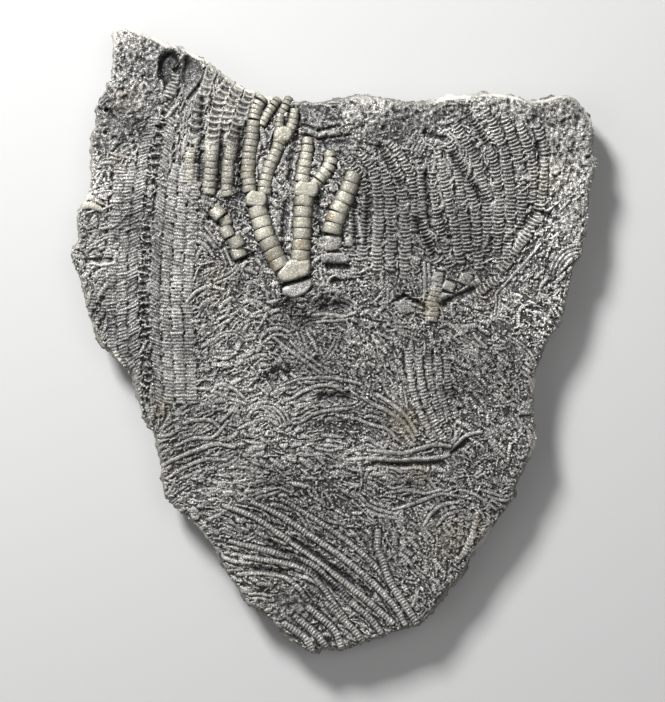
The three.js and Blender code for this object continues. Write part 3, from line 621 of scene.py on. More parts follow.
class Face:
    """Heights and tones of the bedding on an even grid, in millimetres."""

    def __init__(self, cell):
        self.cell = cell
        self.x = np.arange(SLAB_LOW.x / MM, SLAB_HIGH.x / MM + cell, cell)
        self.y = np.arange(SLAB_LOW.y / MM, SLAB_HIGH.y / MM + cell, cell)
        x, y = np.meshgrid(self.x, self.y)
        self.inside = depth_inside(x.ravel(), y.ravel()).reshape(x.shape)
        self.base = bedding(x, y) - rim_fall(self.inside)
        self.firm = np.where(in_pocket(x, y), 0.8, 0.0)
        self.grainy = near(x, y, GRANULAR) * (self.firm == 0)
        self.band = near(x, y, FRESH_BREAKS) * np.clip(1.8 - self.inside, 0, 1)
        self.top = self.base - 0.12 + 0.36 * self.grainy
        self.tone = 0.2 * self.grainy
        self.warm = np.zeros(x.shape)
        for px, py, reach in np.concatenate(laid):
            spot, along, across = self.around(px, py, 0, 1.6 * reach)
            self.top[spot] -= 0.35 * np.clip(3.2 - 2.4 * np.hypot(along, across) / reach, 0, 1)
        self.top = np.maximum(self.top, self.base - 0.8)
        # Painted shade: the left lobe of the smooth hollow gets a much darker tone.
        px, py, half_width, half_height, _ = POCKET_LOBES[0]
        gloom = np.clip(1.3 - np.hypot((x - px) / half_width, (y - py) / half_height), 0, 1)
        self.tone -= 3.8 * np.clip(2.5 * gloom, 0, 1) * (self.firm > 0)

    def window(self, x, y, reach):
        """The rows and columns of cells within reach of one point or of several."""
        columns = slice(*np.searchsorted(self.x, (np.min(x) - reach, np.max(x) + reach)))
        rows = slice(*np.searchsorted(self.y, (np.min(y) - reach, np.max(y) + reach)))
        return rows, columns

    def around(self, x, y, heading, reach):
        """The cells near a point, and how far along and across a heading each lies from it."""
        rows, columns = self.window(x, y, reach)
        dx, dy = self.x[None, columns] - x, self.y[rows, None] - y
        cosine, sine = math.cos(heading), math.sin(heading)
        return (rows, columns), dx * cosine + dy * sine, dy * cosine - dx * sine

    def settle(self, spot, held, raised, dug, tone, warm=0.0, firm=0.0):
        """Raises the cells that are held, digs the moat round them, and keeps the tone of what shows."""
        old, floor = self.top[spot], self.base[spot] - 0.5
        lowered = np.maximum(old - dug * (1 - self.firm[spot]), np.minimum(old, floor))
        shows = held & (raised > lowered)
        self.top[spot] = np.where(shows, raised, lowered)
        self.tone[spot] = np.where(shows, tone, self.tone[spot])
        self.warm[spot] = np.where(shows, warm, self.warm[spot])
        self.firm[spot] = np.where(shows, firm, self.firm[spot])

    def press_stem(self, x, y, heading, length, width, rise, lift, bow, pitch, groove, tone):
        """A rounded, bowed length of stem with shallow ribs, in a narrow moat."""
        spot, along, across = self.around(x, y, heading, 0.55 * length + width * (1 + abs(bow)))
        end = 2 * along / length
        side = 2 * (across - bow * width * (1 - end * end)) / width
        out = side * side + end ** 4
        arch = np.sqrt(np.clip(1 - out, 0, 1))
        ribs = 1 - groove * (0.5 + 0.5 * np.cos(2 * math.pi * along / pitch))
        raised = self.base[spot] + lift + rise * arch * ribs
        self.settle(spot, out < 1, raised, 0.2 * np.clip(2.0 - out, 0, 1), tone)

    def press_rib(self, x, y, heading, pitch, width, rise, lift, skew, sag, groove, thin, tone):
        """One ossicle of a flat ribbed arm: a thin ridge across it, leaning by skew and bowed by sag."""
        spot, along, across = self.around(x, y, heading, 0.62 * width + 1.4 * pitch)
        side = 2 * across / width
        step = (along + skew * across) / pitch + sag * side * side
        inside = (np.abs(side) < 1) & (np.abs(step) < 0.56)
        arch = np.sqrt(np.clip(1 - np.abs(side) ** 3, 0, 1))
        ridge = 1 - groove * (1 - np.exp(-(step / thin) ** 2))
        raised = self.base[spot] + lift + rise * arch * ridge
        dug = np.where(np.abs(step) < 0.56, 0.4 * np.clip((1.45 - np.abs(side)) / 0.45, 0, 1), 0)
        self.settle(spot, inside, raised, dug, tone, firm=0.8)

    def press_plate(self, x, y, heading, length, width, rise, lift, lens, sag, tone, warm):
        """One broad plate of an arm: a barrel with a fine suture, or a hollow lens between raised rims."""
        spot, along, across = self.around(x, y, heading, 0.62 * (width + length))
        side = 2 * across / width
        step = along / length + sag * side * side
        reach = np.clip(np.abs(2 * step), 0, 1)
        arch = np.sqrt(np.clip(1 - side * side, 0, 1))
        barrel = arch * (1 - 0.6 * np.clip((reach - 0.76) / 0.24, 0, 1) ** 1.5)
        rung = np.exp(-((1 - reach) / 0.42) ** 2)
        rail = np.exp(-((1 - np.abs(side)) / 0.26) ** 2)
        hollow = 1.1 * np.maximum(rung, 0.75 * rail) - 0.42
        raised = self.base[spot] + lift + rise * (barrel + lens * (hollow - barrel))
        dug = np.where(np.abs(step) < 0.53, 0.4 * np.clip((1.3 - np.abs(side)) / 0.3, 0, 1), 0)
        inside = (np.abs(side) < 1) & (np.abs(step) < 0.53)
        self.settle(spot, inside, raised, dug, tone, warm, firm=0.95)

    def press_rope(self, x, y, width, heading, step, rise, lift, pitch, groove, moat, tone, sag=0.0):
        """A rounded rope along a route, ribbed across it, with a dark line dug along both sides."""
        reach = 1.1 * width.max()
        rows, columns = self.window(x, y, reach)
        across_cells, down_cells = self.x[columns], self.y[rows]
        nearest = np.full((len(down_cells), len(across_cells)), np.inf)
        along, across, own_width = (np.zeros(nearest.shape) for _ in range(3))
        for number, (px, py, wide, course) in enumerate(zip(x, y, width, heading)):
            i = slice(*np.searchsorted(across_cells, (px - reach, px + reach)))
            j = slice(*np.searchsorted(down_cells, (py - reach, py + reach)))
            dx, dy = across_cells[None, i] - px, down_cells[j, None] - py
            away = dx * dx + dy * dy
            closer = away < nearest[j, i]
            cosine, sine = math.cos(course), math.sin(course)
            nearest[j, i][closer] = away[closer]
            along[j, i][closer] = ((number + 0.5) * step + dx * cosine + dy * sine)[closer]
            across[j, i][closer] = (dy * cosine - dx * sine)[closer]
            own_width[j, i][closer] = wide
        own_width = np.maximum(own_width, 0.1)
        side = 2 * across / own_width
        over = np.maximum(0, np.maximum(-along, along - len(x) * step)) / (0.5 * own_width)
        out = np.where(np.isfinite(nearest), side * side + over * over, 9.0)
        arch = np.sqrt(np.clip(1 - out, 0, 1))
        ribs = 1 - groove * (0.5 + 0.5 * np.cos(2 * math.pi * (along / pitch + sag * side * side)))
        spot = (rows, columns)
        raised = self.base[spot] + lift + rise * arch * ribs
        self.settle(spot, out < 1, raised, moat * np.clip(2.1 - out, 0, 1), tone, firm=0.3)

    def press_ropes(self, strands, dice, lift, moat, groove, share, pitch=0.78, sag=0.0):
        """Named ropes along their routes; share is how high one stands for its width."""
        for points in strands.values():
            route, heading, step = smooth_route(points, 0.16)
            x, y, width = route.T
            keep = depth_inside(x, y) > 0.2
            x, y, width, heading = x[keep], y[keep], width[keep], heading[keep]
            self.press_rope(
                x, y, width, heading, step, share * width.mean(), lift + 0.05 * dice.standard_normal(),
                pitch, groove, moat, 0.4 * dice.standard_normal(), sag)
            laid.append(np.stack([x, y, 0.5 * width], axis=1)[::4])

    def press_plates(self, strands, dice, rise, lift, sag=0.0, warm=1.0, lens_from=math.inf):
        """Plated arms along their routes; above lens_from their plates hollow out into lenses."""
        draw = dice.standard_normal
        for step, points in strands.values():
            route, heading, pitch = smooth_route(points, step)
            for (x, y, width), course in zip(route, heading):
                lens = min(1.0, max(0.0, (y - lens_from) / 6.0)) * dice.uniform(0.8, 1.0)
                self.press_plate(
                    x + 0.1 * draw(), y, course + 0.06 * draw(), pitch, width * (1 + 0.04 * draw()),
                    rise * width * (1 - 0.35 * lens), lift + 0.06 * draw(), lens, sag * (1 + 1.6 * lens),
                    0.6 * draw(), warm * (1 - 0.8 * lens))
            laid.append(np.stack([route[:, 0], route[:, 1], 0.5 * route[:, 2]], axis=1))

    def press_facet(self, points, rise, tone, warm, lean_x, lean_y):
        """A loose plate of a given outline, round at the edges and leaning, in a narrow moat."""
        ring = rounded(points)
        middle = ring.mean(axis=0)
        rows, columns = self.window(ring[:, 0], ring[:, 1], 1)
        x, y = np.meshgrid(self.x[columns], self.y[rows])
        deep = depth_inside(x.ravel(), y.ravel(), ring).reshape(x.shape)
        dome = np.sqrt(1 - np.clip(1 - deep / 0.75, 0, 1) ** 2)
        spot = (rows, columns)
        raised = self.base[spot] + rise * dome + lean_x * (x - middle[0]) + lean_y * (y - middle[1])
        dug = 0.6 * rise * np.clip(1 + deep / 0.7, 0, 1)
        self.settle(spot, deep > 0, raised, dug, tone, warm, firm=0.8)
        inner = middle + 0.55 * (ring - middle)
        reach = 0.22 * np.ptp(ring, axis=0).min() + 0.3
        laid.append(np.column_stack([inner, np.full(len(inner), reach)]))

    def press_knuckles(self, points, dice, step=1.95):
        """The axis of the feathery arm: small raised knuckles with uneven dark hollows between them."""
        route, heading, pitch = smooth_route(points, step)
        for (x, y, width), course in zip(route, heading):
            a, b, c, d = dice.standard_normal(4)
            x, y = x + 0.4 * a, y + 0.35 * b
            spot, along, across = self.around(x, y, course + 0.2 * c, width)
            wide, long = (0.56 + 0.12 * d) * width, (0.5 + 0.1 * a) * pitch
            out = (2 * across / wide) ** 2 + (2 * along / long) ** 2
            hollow = self.base[spot] - (0.6 + 0.15 * b) * np.sqrt(1 - np.clip(out, 0, 1))
            self.top[spot] = np.where(out < 1, hollow, self.top[spot])
            self.firm[spot] = np.where(out < 1.2, 1.0, self.firm[spot])
            for k in (-1, 1):
                u, v, w = dice.standard_normal(3)
                self.press_stem(
                    x - 0.5 * pitch * math.cos(course) + k * 0.22 * width * math.sin(course) + 0.2 * u,
                    y - 0.5 * pitch * math.sin(course) - k * 0.22 * width * math.cos(course) + 0.2 * v,
                    course + math.pi / 2 + 0.35 * w, 0.5 * width, 0.5, 0.42 + 0.1 * u, 0.1 + 0.06 * v,
                    0.1 * w, SMOOTH, 0, 0.5 + 0.5 * v)
        laid.append(np.stack([route[:, 0], route[:, 1], 0.45 * route[:, 2]], axis=1))

    def press_strands(self, strands, dice, rise, lift, skew=0.0, sag=0.0, groove=0.6, share=1.0, thin=0.3):
        """Ribbed arms along their routes, worn and sunk in places; share is how much of its width shows."""
        draw = dice.standard_normal
        for number, (step, points) in enumerate(strands.values()):
            route, heading, pitch = smooth_route(points, step)
            own_lift = lift + 0.1 * draw()
            own_sag = sag * (1 + 0.5 * draw())
            for (x, y, width), course in zip(route, heading):
                worn = noise.noise(Vector((x / 6, y / 6, number)))
                fine = noise.noise(Vector((x / 1.8, y / 1.8, number + 0.5)))
                aside = 0.12 * draw() + 0.25 * worn
                self.press_rib(
                    x - aside * math.sin(course), y + aside * math.cos(course),
                    course + 0.07 * draw(), pitch, share * width * (1 + 0.08 * draw() + 0.2 * fine),
                    rise * (1 + 0.5 * fine) * (1 + 0.12 * draw()),
                    own_lift + 0.3 * min(worn, 0.2) + 0.05 * draw(), skew + 0.06 * draw(), own_sag, groove,
                    thin, 0.5 * draw())
            laid.append(np.stack([route[:, 0], route[:, 1], 0.5 * share * route[:, 2]], axis=1))

    def strew(self, count, dice):
        """Litter along its flow: short lengths of stem, ribbed bands and lumps."""
        x = dice.uniform(self.x[0], self.x[-1], count)
        y = dice.uniform(self.y[0], self.y[-1], count)
        keep = depth_inside(x, y) > 0.2 + 0.8 * near(x, y, FRESH_BREAKS)
        keep &= ~in_pocket(x, y)
        keep &= clear_of_strands(x, y, 0.95) | (dice.random(count) < 0.07)
        keep &= dice.random(count) > 0.6 * near(x, y, GRANULAR)
        x, y = x[keep], y[keep]
        heading, stray = flow(x, y)
        heading = heading + stray * dice.standard_normal(len(x))
        kind = dice.choice(3, len(x), p=(0.52, 0.36, 0.12))
        kind = np.where(dice.random(len(x)) < near(x, y, GRANULAR), 1, kind)
        for px, py, course, sort in zip(x, y, heading, kind):
            u, v, w = dice.random(3)
            tone = 0.8 * dice.standard_normal()
            bow = 0.55 * dice.standard_normal()
            if sort == 0:
                self.press_stem(px, py, course, 1.0 + 3.4 * u * u, 0.36 + 0.24 * v, 0.2 + 0.14 * w,
                                0.22 * w - 0.04, bow, 0.5, 0.25, tone)
            elif sort == 1:
                self.press_stem(px, py, course + 3 * u, 0.4 + 0.5 * u, 0.38 + 0.34 * v, 0.2 + 0.2 * w,
                                0.18 * w, 0, SMOOTH, 0, tone)
            else:
                self.press_stem(px, py, course, 2.2 + 4.4 * u * u, 0.85 + 0.75 * v, 0.42 + 0.2 * w,
                                0.16 * w - 0.08, 0.5 * bow, 0.62, 0.42, tone)

    def lay_filaments(self, count, dice):
        """Long curved cirri and side branches over the litter, often two or three side by side."""
        x = dice.uniform(self.x[0], self.x[-1], count)
        y = dice.uniform(self.y[0], self.y[-1], count)
        heading, stray = flow(x, y)
        heading = heading + 1.1 * stray * dice.standard_normal(count)
        step = 0.2
        for px, py, course in zip(x, y, heading):
            u, v = dice.random(2)
            bend, twist, tone = dice.standard_normal(3)
            travelled = np.arange(0, 3.0 + 11.0 * u * u, step)
            turn = course + 0.1 * bend * travelled + 0.008 * twist * travelled ** 2
            line_x = px + step * np.cumsum(np.cos(turn))
            line_y = py + step * np.cumsum(np.sin(turn))
            wide = 0.62 + 0.5 * v
            for row in range(1 + int(dice.random() < 0.5) + int(dice.random() < 0.25)):
                aside = 1.12 * wide * row
                lx, ly = line_x - aside * np.sin(turn), line_y + aside * np.cos(turn)
                first = dice.integers(0, 1 + len(lx) // 4)
                lx, ly, course_here = lx[first:], ly[first:], turn[first:]
                clear = (depth_inside(lx, ly) > 0.5) & clear_of_strands(lx, ly, 1.0) & ~in_pocket(lx, ly)
                clear &= near(lx, ly, GRANULAR) < 0.6
                stop = len(lx) if clear.all() else int(np.argmin(clear))
                if stop < 8:
                    continue
                taper = np.clip(np.arange(stop, 0, -1) / 10, 0.4, 1)
                self.press_rope(lx[:stop], ly[:stop], wide * taper, course_here[:stop], step, 0.32 * wide,
                                0.03 + 0.06 * tone, 0.5, 0.3, 0.2, 0.4 * tone)

    def roughen(self, dice):
        """Adds the granular grain, gentler on arms, in the smooth hollow and along the rim."""
        edge = np.clip(self.inside / RIM_BAND, 0.25, 1)
        rough = (1 - 0.55 * self.firm) * (1 - 0.4 * self.warm) * edge * (1 - 0.35 * self.band)
        self.top += self.grainy * rough * 0.09 * granules(self.top.shape, 1.5, dice)
        self.top -= self.grainy * rough * 0.4 * np.clip(granules(self.top.shape, 2.3, dice) - 0.9, 0, 1)
        self.top += rough * 0.05 * granules(self.top.shape, 1.0, dice)
        self.top += rough * 0.07 * granules(self.top.shape, 2.2, dice)
        self.top += edge * 0.09 * granules(self.top.shape, 7.0, dice)
        self.top += edge * 0.17 * granules(self.top.shape, 20.0, dice)
        self.tone += self.band


# ---------------------------------------------------------------------------------------------------
# Ossicles and how they are laid.

def stack_rings(bm, rings):
    """Extrudes the only face of a bmesh along +Z through rings of (place, size share)."""
    cap = bm.faces[:]
    first, size = rings[0]
    bmesh.ops.translate(bm, vec=(0, 0, first), verts=bm.verts)
    for number, (place, share) in enumerate(rings[1:]):
        grown = bmesh.ops.extrude_face_region(bm, geom=cap)["geom"]
        if number:
            bmesh.ops.delete(bm, geom=cap, context="FACES_ONLY")
        verts = [g for g in grown if isinstance(g, bmesh.types.BMVert)]
        cap = [g for g in grown if isinstance(g, bmesh.types.BMFace)]
        centre = verts[0].co.z
        bmesh.ops.scale(bm, vec=(share / size, share / size, 1), verts=verts)
        bmesh.ops.translate(bm, vec=(0, 0, place - centre), verts=verts)
        size = share
    bmesh.ops.recalc_face_normals(bm, faces=bm.faces)


def turned_solid(name, rings, arc, sides=22):
    """An ossicle one unit long along +Y, bowed by arc, with dark sutures at its ends.

    Its rings are (place along it, share of the full radius).
    """
    bm = bmesh.new()
    bmesh.ops.create_circle(bm, cap_ends=True, segments=sides, radius=0.5 * rings[0][1])
    stack_rings(bm, rings)
    bmesh.ops.rotate(bm, matrix=Matrix.Rotation(-math.pi / 2, 3, "X"), verts=bm.verts)
    places = np.array([tuple(vert.co) for vert in bm.verts])
    for vert in bm.verts:
        vert.co.y += arc * (4 * vert.co.x ** 2 - 0.5)
    solid = as_object(bm, name)
    suture = np.clip((np.abs(places[:, 1]) - 0.4) / 0.09, 0, 1) ** 1.5
    rind = np.clip((2 * np.hypot(places[:, 0], places[:, 2]) - 0.62) / 0.12, 0, 1)
    set_attribute(solid.data, "joint", suture * rind)
    # Lift by height in the ossicle, so that the stone material paints its lower sides darker as shade.
    set_attribute(solid.data, "lift", 2 * places[:, 2])
    return solid


def cushion(name, points):
    """A rounded plate one unit high over an outline in millimetres about its own middle."""
    ring = rounded(points)
    bm = bmesh.new()
    bmesh.ops.create_circle(bm, cap_ends=True, segments=len(ring), radius=1.0)
    for vert, (x, y) in zip(bm.verts, ring - ring.mean(axis=0)):
        vert.co = (x, y, 0)
    stack_rings(bm, [(-0.8, 0.98), (0.0, 1.0), (0.45, 0.99), (0.74, 0.96), (0.9, 0.9), (0.97, 0.8),
                     (1.0, 0.6), (1.0, 0.25)])
    height = np.array([vert.co.z for vert in bm.verts])
    solid = as_object(bm, name)
    set_attribute(solid.data, "joint", np.zeros(len(height)))
    # Lift by height in the cushion, so that the stone material paints its lower sides darker as shade.
    set_attribute(solid.data, "lift", height)
    return solid


def kit(name, solids):
    """A hidden collection of the ossicle shapes that one kind of strand is made of."""
    box = bpy.data.collections.new(name)
    for solid in solids:
        box.objects.link(solid)
    return box


def laying_tool():
    """Geometry nodes that set a shape from a kit on every point, turned and sized, as one mesh."""
    tree = bpy.data.node_groups.get("Lay ossicles")
    if tree:
        return tree
    tree = bpy.data.node_groups.new("Lay ossicles", "GeometryNodeTree")
    tree.is_modifier = True
    tree.interface.new_socket("Geometry", in_out="INPUT", socket_type="NodeSocketGeometry")
    tree.interface.new_socket("Kit", in_out="INPUT", socket_type="NodeSocketCollection")
    tree.interface.new_socket("Geometry", in_out="OUTPUT", socket_type="NodeSocketGeometry")
    add = tree.nodes.new
    source, sink = add("NodeGroupInput"), add("NodeGroupOutput")
    shapes = add("GeometryNodeCollectionInfo")
    shapes.inputs["Separate Children"].default_value = True
    shapes.inputs["Reset Children"].default_value = True
    lay, realize = add("GeometryNodeInstanceOnPoints"), add("GeometryNodeRealizeInstances")
    lay.inputs["Pick Instance"].default_value = True
    euler = add("FunctionNodeEulerToRotation")
    readers = {}
    for title, kind in (("turn", "FLOAT_VECTOR"), ("size", "FLOAT_VECTOR"), ("kind", "INT")):
        readers[title] = add("GeometryNodeInputNamedAttribute")
        readers[title].data_type = kind
        readers[title].inputs["Name"].default_value = title
    link = tree.links.new
    link(source.outputs["Geometry"], lay.inputs["Points"])
    link(source.outputs["Kit"], shapes.inputs["Collection"])
    link(shapes.outputs[0], lay.inputs["Instance"])
    link(readers["kind"].outputs["Attribute"], lay.inputs["Instance Index"])
    link(readers["turn"].outputs["Attribute"], euler.inputs[0])
    link(euler.outputs[0], lay.inputs["Rotation"])
    link(readers["size"].outputs["Attribute"], lay.inputs["Scale"])
    link(lay.outputs["Instances"], realize.inputs["Geometry"])
    link(realize.outputs["Geometry"], sink.inputs["Geometry"])
    return tree


def set_attribute(mesh, name, values, kind="FLOAT"):
    """Stores one value for each vertex of a mesh under a name."""
    layer = mesh.attributes.new(name, kind, "POINT")
    field = "vector" if kind == "FLOAT_VECTOR" else "value"
    number = np.int32 if kind == "INT" else np.float32
    layer.data.foreach_set(field, np.ascontiguousarray(values.astype(number)).ravel())


def vertex_places(mesh):
    """The vertices of a mesh in millimetres, one row each."""
    co = np.empty(len(mesh.vertices) * 3, np.float32)
    mesh.vertices.foreach_get("co", co)
    return co.reshape(-1, 3).astype(float) / MM


def vertex_normals(mesh):
    """The normals of a mesh's vertices, one row each."""
    normals = np.empty(len(mesh.vertices) * 3, np.float32)
    mesh.vertices.foreach_get("normal", normals)
    return normals.reshape(-1, 3)


def move_vertices(mesh, co):
    """Puts the vertices of a mesh at places in millimetres."""
    mesh.vertices.foreach_set("co", (co * MM).astype(np.float32).ravel())


def lay(name, box, places):
    """One mesh of the shapes in a kit, laid at places: rows of x, y, z, turns, sizes, kind and tone."""
    table = np.concatenate(places)
    mesh = bpy.data.meshes.new(name)
    mesh.vertices.add(len(table))
    move_vertices(mesh, table[:, 0:3])
    set_attribute(mesh, "turn", table[:, 3:6], "FLOAT_VECTOR")
    set_attribute(mesh, "size", table[:, 6:9] * MM, "FLOAT_VECTOR")
    set_attribute(mesh, "kind", table[:, 9], "INT")
    set_attribute(mesh, "tone", table[:, 10])
    seeds = bpy.data.objects.new(name, mesh)
    bpy.context.scene.collection.objects.link(seeds)
    tool = seeds.modifiers.new("Lay ossicles", "NODES")
    tool.node_group = laying_tool()
    socket = next(s for s in tool.node_group.interface.items_tree if s.name == "Kit")
    tool[socket.identifier] = box
    whole = bpy.data.meshes.new_from_object(seeds.evaluated_get(bpy.context.evaluated_depsgraph_get()))
    seeds.modifiers.clear()
    seeds.data = whole
    whole.name = name
    bpy.data.meshes.remove(mesh)
    for spare in ("turn", "size", "kind"):
        if spare in whole.attributes:
            whole.attributes.remove(whole.attributes[spare])
    return seeds


def strand_places(strands, dice, proud, kinds, height, jitter):
    """Rows for lay() that set the plates of named arms along their routes, sunk in the face.
    """
    draw = dice.standard_normal
    rows = []
    for step, points in strands.values():
        route, heading, pitch = smooth_route(points, step)
        count = len(route)
        x, y, width = route.T
        level = ground(x, y)
        ahead = ground(x + np.cos(heading), y + np.sin(heading))
        climb = np.arctan(np.clip(ahead - level, -0.6, 0.6))
        layer = 0.12 * draw() * jitter
        row = np.zeros((count, 11))
        aside = 0.05 * width * jitter * draw(count)
        row[:, 0] = x - aside * np.sin(heading)
        row[:, 1] = y + aside * np.cos(heading)
        row[:, 2] = level + (proud - 0.5 * height) * width + layer + 0.05 * jitter * draw(count)
        row[:, 3] = climb + 0.05 * jitter * draw(count)
        row[:, 4] = 0.08 * jitter * draw(count)
        row[:, 5] = heading - math.pi / 2 + 0.05 * jitter * draw(count)
        row[:, 6] = width * (1 + 0.04 * jitter * draw(count))
        row[:, 7] = pitch
        row[:, 8] = width * height
        row[:, 9] = dice.integers(0, kinds, count)
        row[:, 10] = 0.35 * draw(count)
        keep = depth_inside(row[:, 0], row[:, 1]) > 0.25 * row[:, 6]
        rows.append(row[keep])
        laid.append(np.stack([row[keep, 0], row[keep, 1], 0.5 * row[keep, 6]], axis=1))
    return rows


def clear_of_strands(x, y, share):
    """True for each point that is not on an ossicle already laid."""
    taken = np.concatenate(laid)
    clear = np.ones(len(x), bool)
    batch = 1000
    for start in range(0, len(x), batch):
        part = slice(start, start + batch)
        away = np.hypot(x[part, None] - taken[:, 0], y[part, None] - taken[:, 1])
        clear[part] = (away > share * taken[:, 2]).all(axis=1)
    return clear


def weather(mesh, depth, scale, seed):
    """Roughens a mesh by moving each vertex a little along its normal."""
    normals = vertex_normals(mesh)
    co = vertex_places(mesh)
    shift = Vector((seed * 7.1, seed * 3.3, seed * 1.7))
    push = np.array([noise.noise(Vector(p) / scale + shift)
                     + 0.5 * noise.noise(Vector(p) / (0.4 * scale) - shift) for p in co])
    co += normals * (depth * push)[:, None]
    move_vertices(mesh, co)


def finish_piece(piece, material, smooth=True):
    """Gives a piece its stone, slot and body, and its lift and rim where it has none yet."""
    mesh = piece.data
    if "lift" not in mesh.attributes:
        x, y, z = vertex_places(mesh).T
        level = ground(x, y)
        # Lift above the local ground, lowered in the bedding's hollows, for the painted shade of the stone
        # material; what lies far below the ground gets a middling lift.
        hollow = bedding(x, y) - plain_bedding(x, y)
        lift = z - level + 0.5 * np.minimum(hollow, 0)
        set_attribute(mesh, "lift", np.where(z < level - 1.2, 0.3, lift))
        rim = np.clip(1 - depth_inside(x, y) / RIM_BAND, 0, 1) * np.clip((z - level + 2.6) / 2, 0.12, 1)
        set_attribute(mesh, "rim", rim)
    if smooth:
        mesh.shade_smooth()
    else:
        mesh.shade_flat()
    mesh.materials.clear()
    mesh.materials.append(material)
    mesh.update()
    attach(piece, "root")


# ---------------------------------------------------------------------------------------------------
# Finishes.

def node(tree, kind, inputs=None, **settings):
    """A shader node with its settings and its inputs, which are values or sockets to link."""
    made = tree.nodes.new(kind)
    for name, value in settings.items():
        setattr(made, name, value)
    for key, value in (inputs or {}).items():
        if isinstance(value, bpy.types.NodeSocket):
            tree.links.new(value, made.inputs[key])
        else:
            made.inputs[key].default_value = value
    return made


def maths(tree, operation, a, b=0.0, clamp=False):
    """The result of one math node."""
    return node(tree, "ShaderNodeMath", {0: a, 1: b}, operation=operation, use_clamp=clamp).outputs[0]


def spread(tree, value, low, high, to_low=0.0, to_high=1.0):
    """A value mapped smoothly from one range to another."""
    made = node(tree, "ShaderNodeMapRange", {"Value": value, "From Min": low, "From Max": high,
                                             "To Min": to_low, "To Max": to_high},
                interpolation_type="SMOOTHSTEP")
    return made.outputs["Result"]


def blend_colour(tree, amount, a, b, mode="MIX"):
    """Two colours mixed."""
    made = node(tree, "ShaderNodeMix", data_type="RGBA", blend_type=mode)
    for socket, value in zip((made.inputs[0], made.inputs[6], made.inputs[7]), (amount, a, b)):
        if isinstance(value, bpy.types.NodeSocket):
            tree.links.new(value, socket)
        else:
            socket.default_value = value if isinstance(value, float) else (*value[:3], 1)
    return made.outputs[2]


def grain_group():
    """Granular, pyrite-flecked surface: a speckle mask, fleck mask and height, by object position."""
    tree = bpy.data.node_groups.get("Shale grain")
    if tree:
        return tree
    tree = bpy.data.node_groups.new("Shale grain", "ShaderNodeTree")
    tree.interface.new_socket("Vector", in_out="INPUT", socket_type="NodeSocketVector")
    tree.interface.new_socket("Grain size", in_out="INPUT", socket_type="NodeSocketFloat")
    for title in ("Speckle", "Fleck", "Height"):
        tree.interface.new_socket(title, in_out="OUTPUT", socket_type="NodeSocketFloat")
    source, sink = tree.nodes.new("NodeGroupInput"), tree.nodes.new("NodeGroupOutput")
    finer = maths(tree, "DIVIDE", 1.0, source.outputs["Grain size"])
    where = node(tree, "ShaderNodeVectorMath", {0: source.outputs["Vector"], "Scale": finer},
                 operation="SCALE").outputs[0]
    fine = node(tree, "ShaderNodeTexNoise", {"Vector": where, "Scale": 1.0, "Detail": 3.0,
                                             "Roughness": 0.6}).outputs[0]
    cells = node(tree, "ShaderNodeTexVoronoi", {"Vector": where, "Scale": 0.9}).outputs["Distance"]
    flecks = node(tree, "ShaderNodeTexVoronoi", {"Vector": where, "Scale": 0.33}).outputs["Distance"]
    pits = spread(tree, cells, 0.1, 0.75, 1.0, 0.0)
    speckle = maths(tree, "ADD", maths(tree, "MULTIPLY", fine, 0.6), maths(tree, "MULTIPLY", pits, 0.4))
    tree.links.new(speckle, sink.inputs["Speckle"])
    tree.links.new(spread(tree, flecks, 0.05, 0.16, 1.0, 0.0), sink.inputs["Fleck"])
    tree.links.new(maths(tree, "ADD", maths(tree, "MULTIPLY", pits, 0.6), fine), sink.inputs["Height"])
    return tree


def patches_group(title, spots):
    """A mask of soft, ragged patches centred on spots of (x, y, reach, strength) in millimetres."""
    tree = bpy.data.node_groups.get(title)
    if tree:
        return tree
    tree = bpy.data.node_groups.new(title, "ShaderNodeTree")
    tree.interface.new_socket("Vector", in_out="INPUT", socket_type="NodeSocketVector")
    tree.interface.new_socket("Mask", in_out="OUTPUT", socket_type="NodeSocketFloat")
    source, sink = tree.nodes.new("NodeGroupInput"), tree.nodes.new("NodeGroupOutput")
    ragged = node(tree, "ShaderNodeTexNoise", {"Vector": source.outputs[0], "Scale": 260.0, "Detail": 3.0})
    worn = maths(tree, "ADD", ragged.outputs[0], 0.5)
    total = None
    flat = node(tree, "ShaderNodeVectorMath", {0: source.outputs[0], 1: (1, 1, 0)}, operation="MULTIPLY")
    for x, y, reach, *strength in spots:
        away = node(tree, "ShaderNodeVectorMath", {0: flat.outputs[0], 1: (x * MM, y * MM, 0)},
                    operation="DISTANCE").outputs["Value"]
        mask = spread(tree, maths(tree, "MULTIPLY", away, worn), 0.25 * reach * MM, reach * MM,
                      strength[0] if strength else 1.0, 0.0)
        total = mask if total is None else maths(tree, "MAXIMUM", total, mask)
    tree.links.new(total, sink.inputs["Mask"])
    return tree


# Pale pyrite flecks: their base colour is partly pyrite's own and partly a painted glint.
PYRITE = (0.6, 0.6, 0.58)  # the flecks that glint in the shale


def patches(tree, where, title, spots):
    """The mask of one set of patches at a place."""
    return node(tree, "ShaderNodeGroup", {0: where}, node_tree=patches_group(title, spots)).outputs[0]


def stone_shade(tree, where, speckle, clouds, tone, speck):
    """How light the stone is: speckle, tone (with painted shade in the hollow), clouds, pale bloom, shaded
    ground.
    """
    shade = maths(tree, "ADD", spread(tree, speckle, 0.3, 0.75, 1 - 0.45 * speck, 1 + 0.22 * speck),
                  maths(tree, "MULTIPLY", tone, 0.13))
    shade = maths(tree, "MULTIPLY", shade, spread(tree, clouds, 0.3, 0.7, 0.74, 1.2))
    bloom = patches(tree, where, "Pale bloom", BLOOM)
    pale = maths(tree, "ADD", 1.0, maths(tree, "MULTIPLY", bloom, 0.8))
    shade = maths(tree, "MULTIPLY", shade, pale)
    shaded = patches(tree, where, "Shaded ground", SHADED)
    return maths(tree, "MULTIPLY", shade, spread(tree, shaded, 0.0, 1.0, 1.0, 0.66))


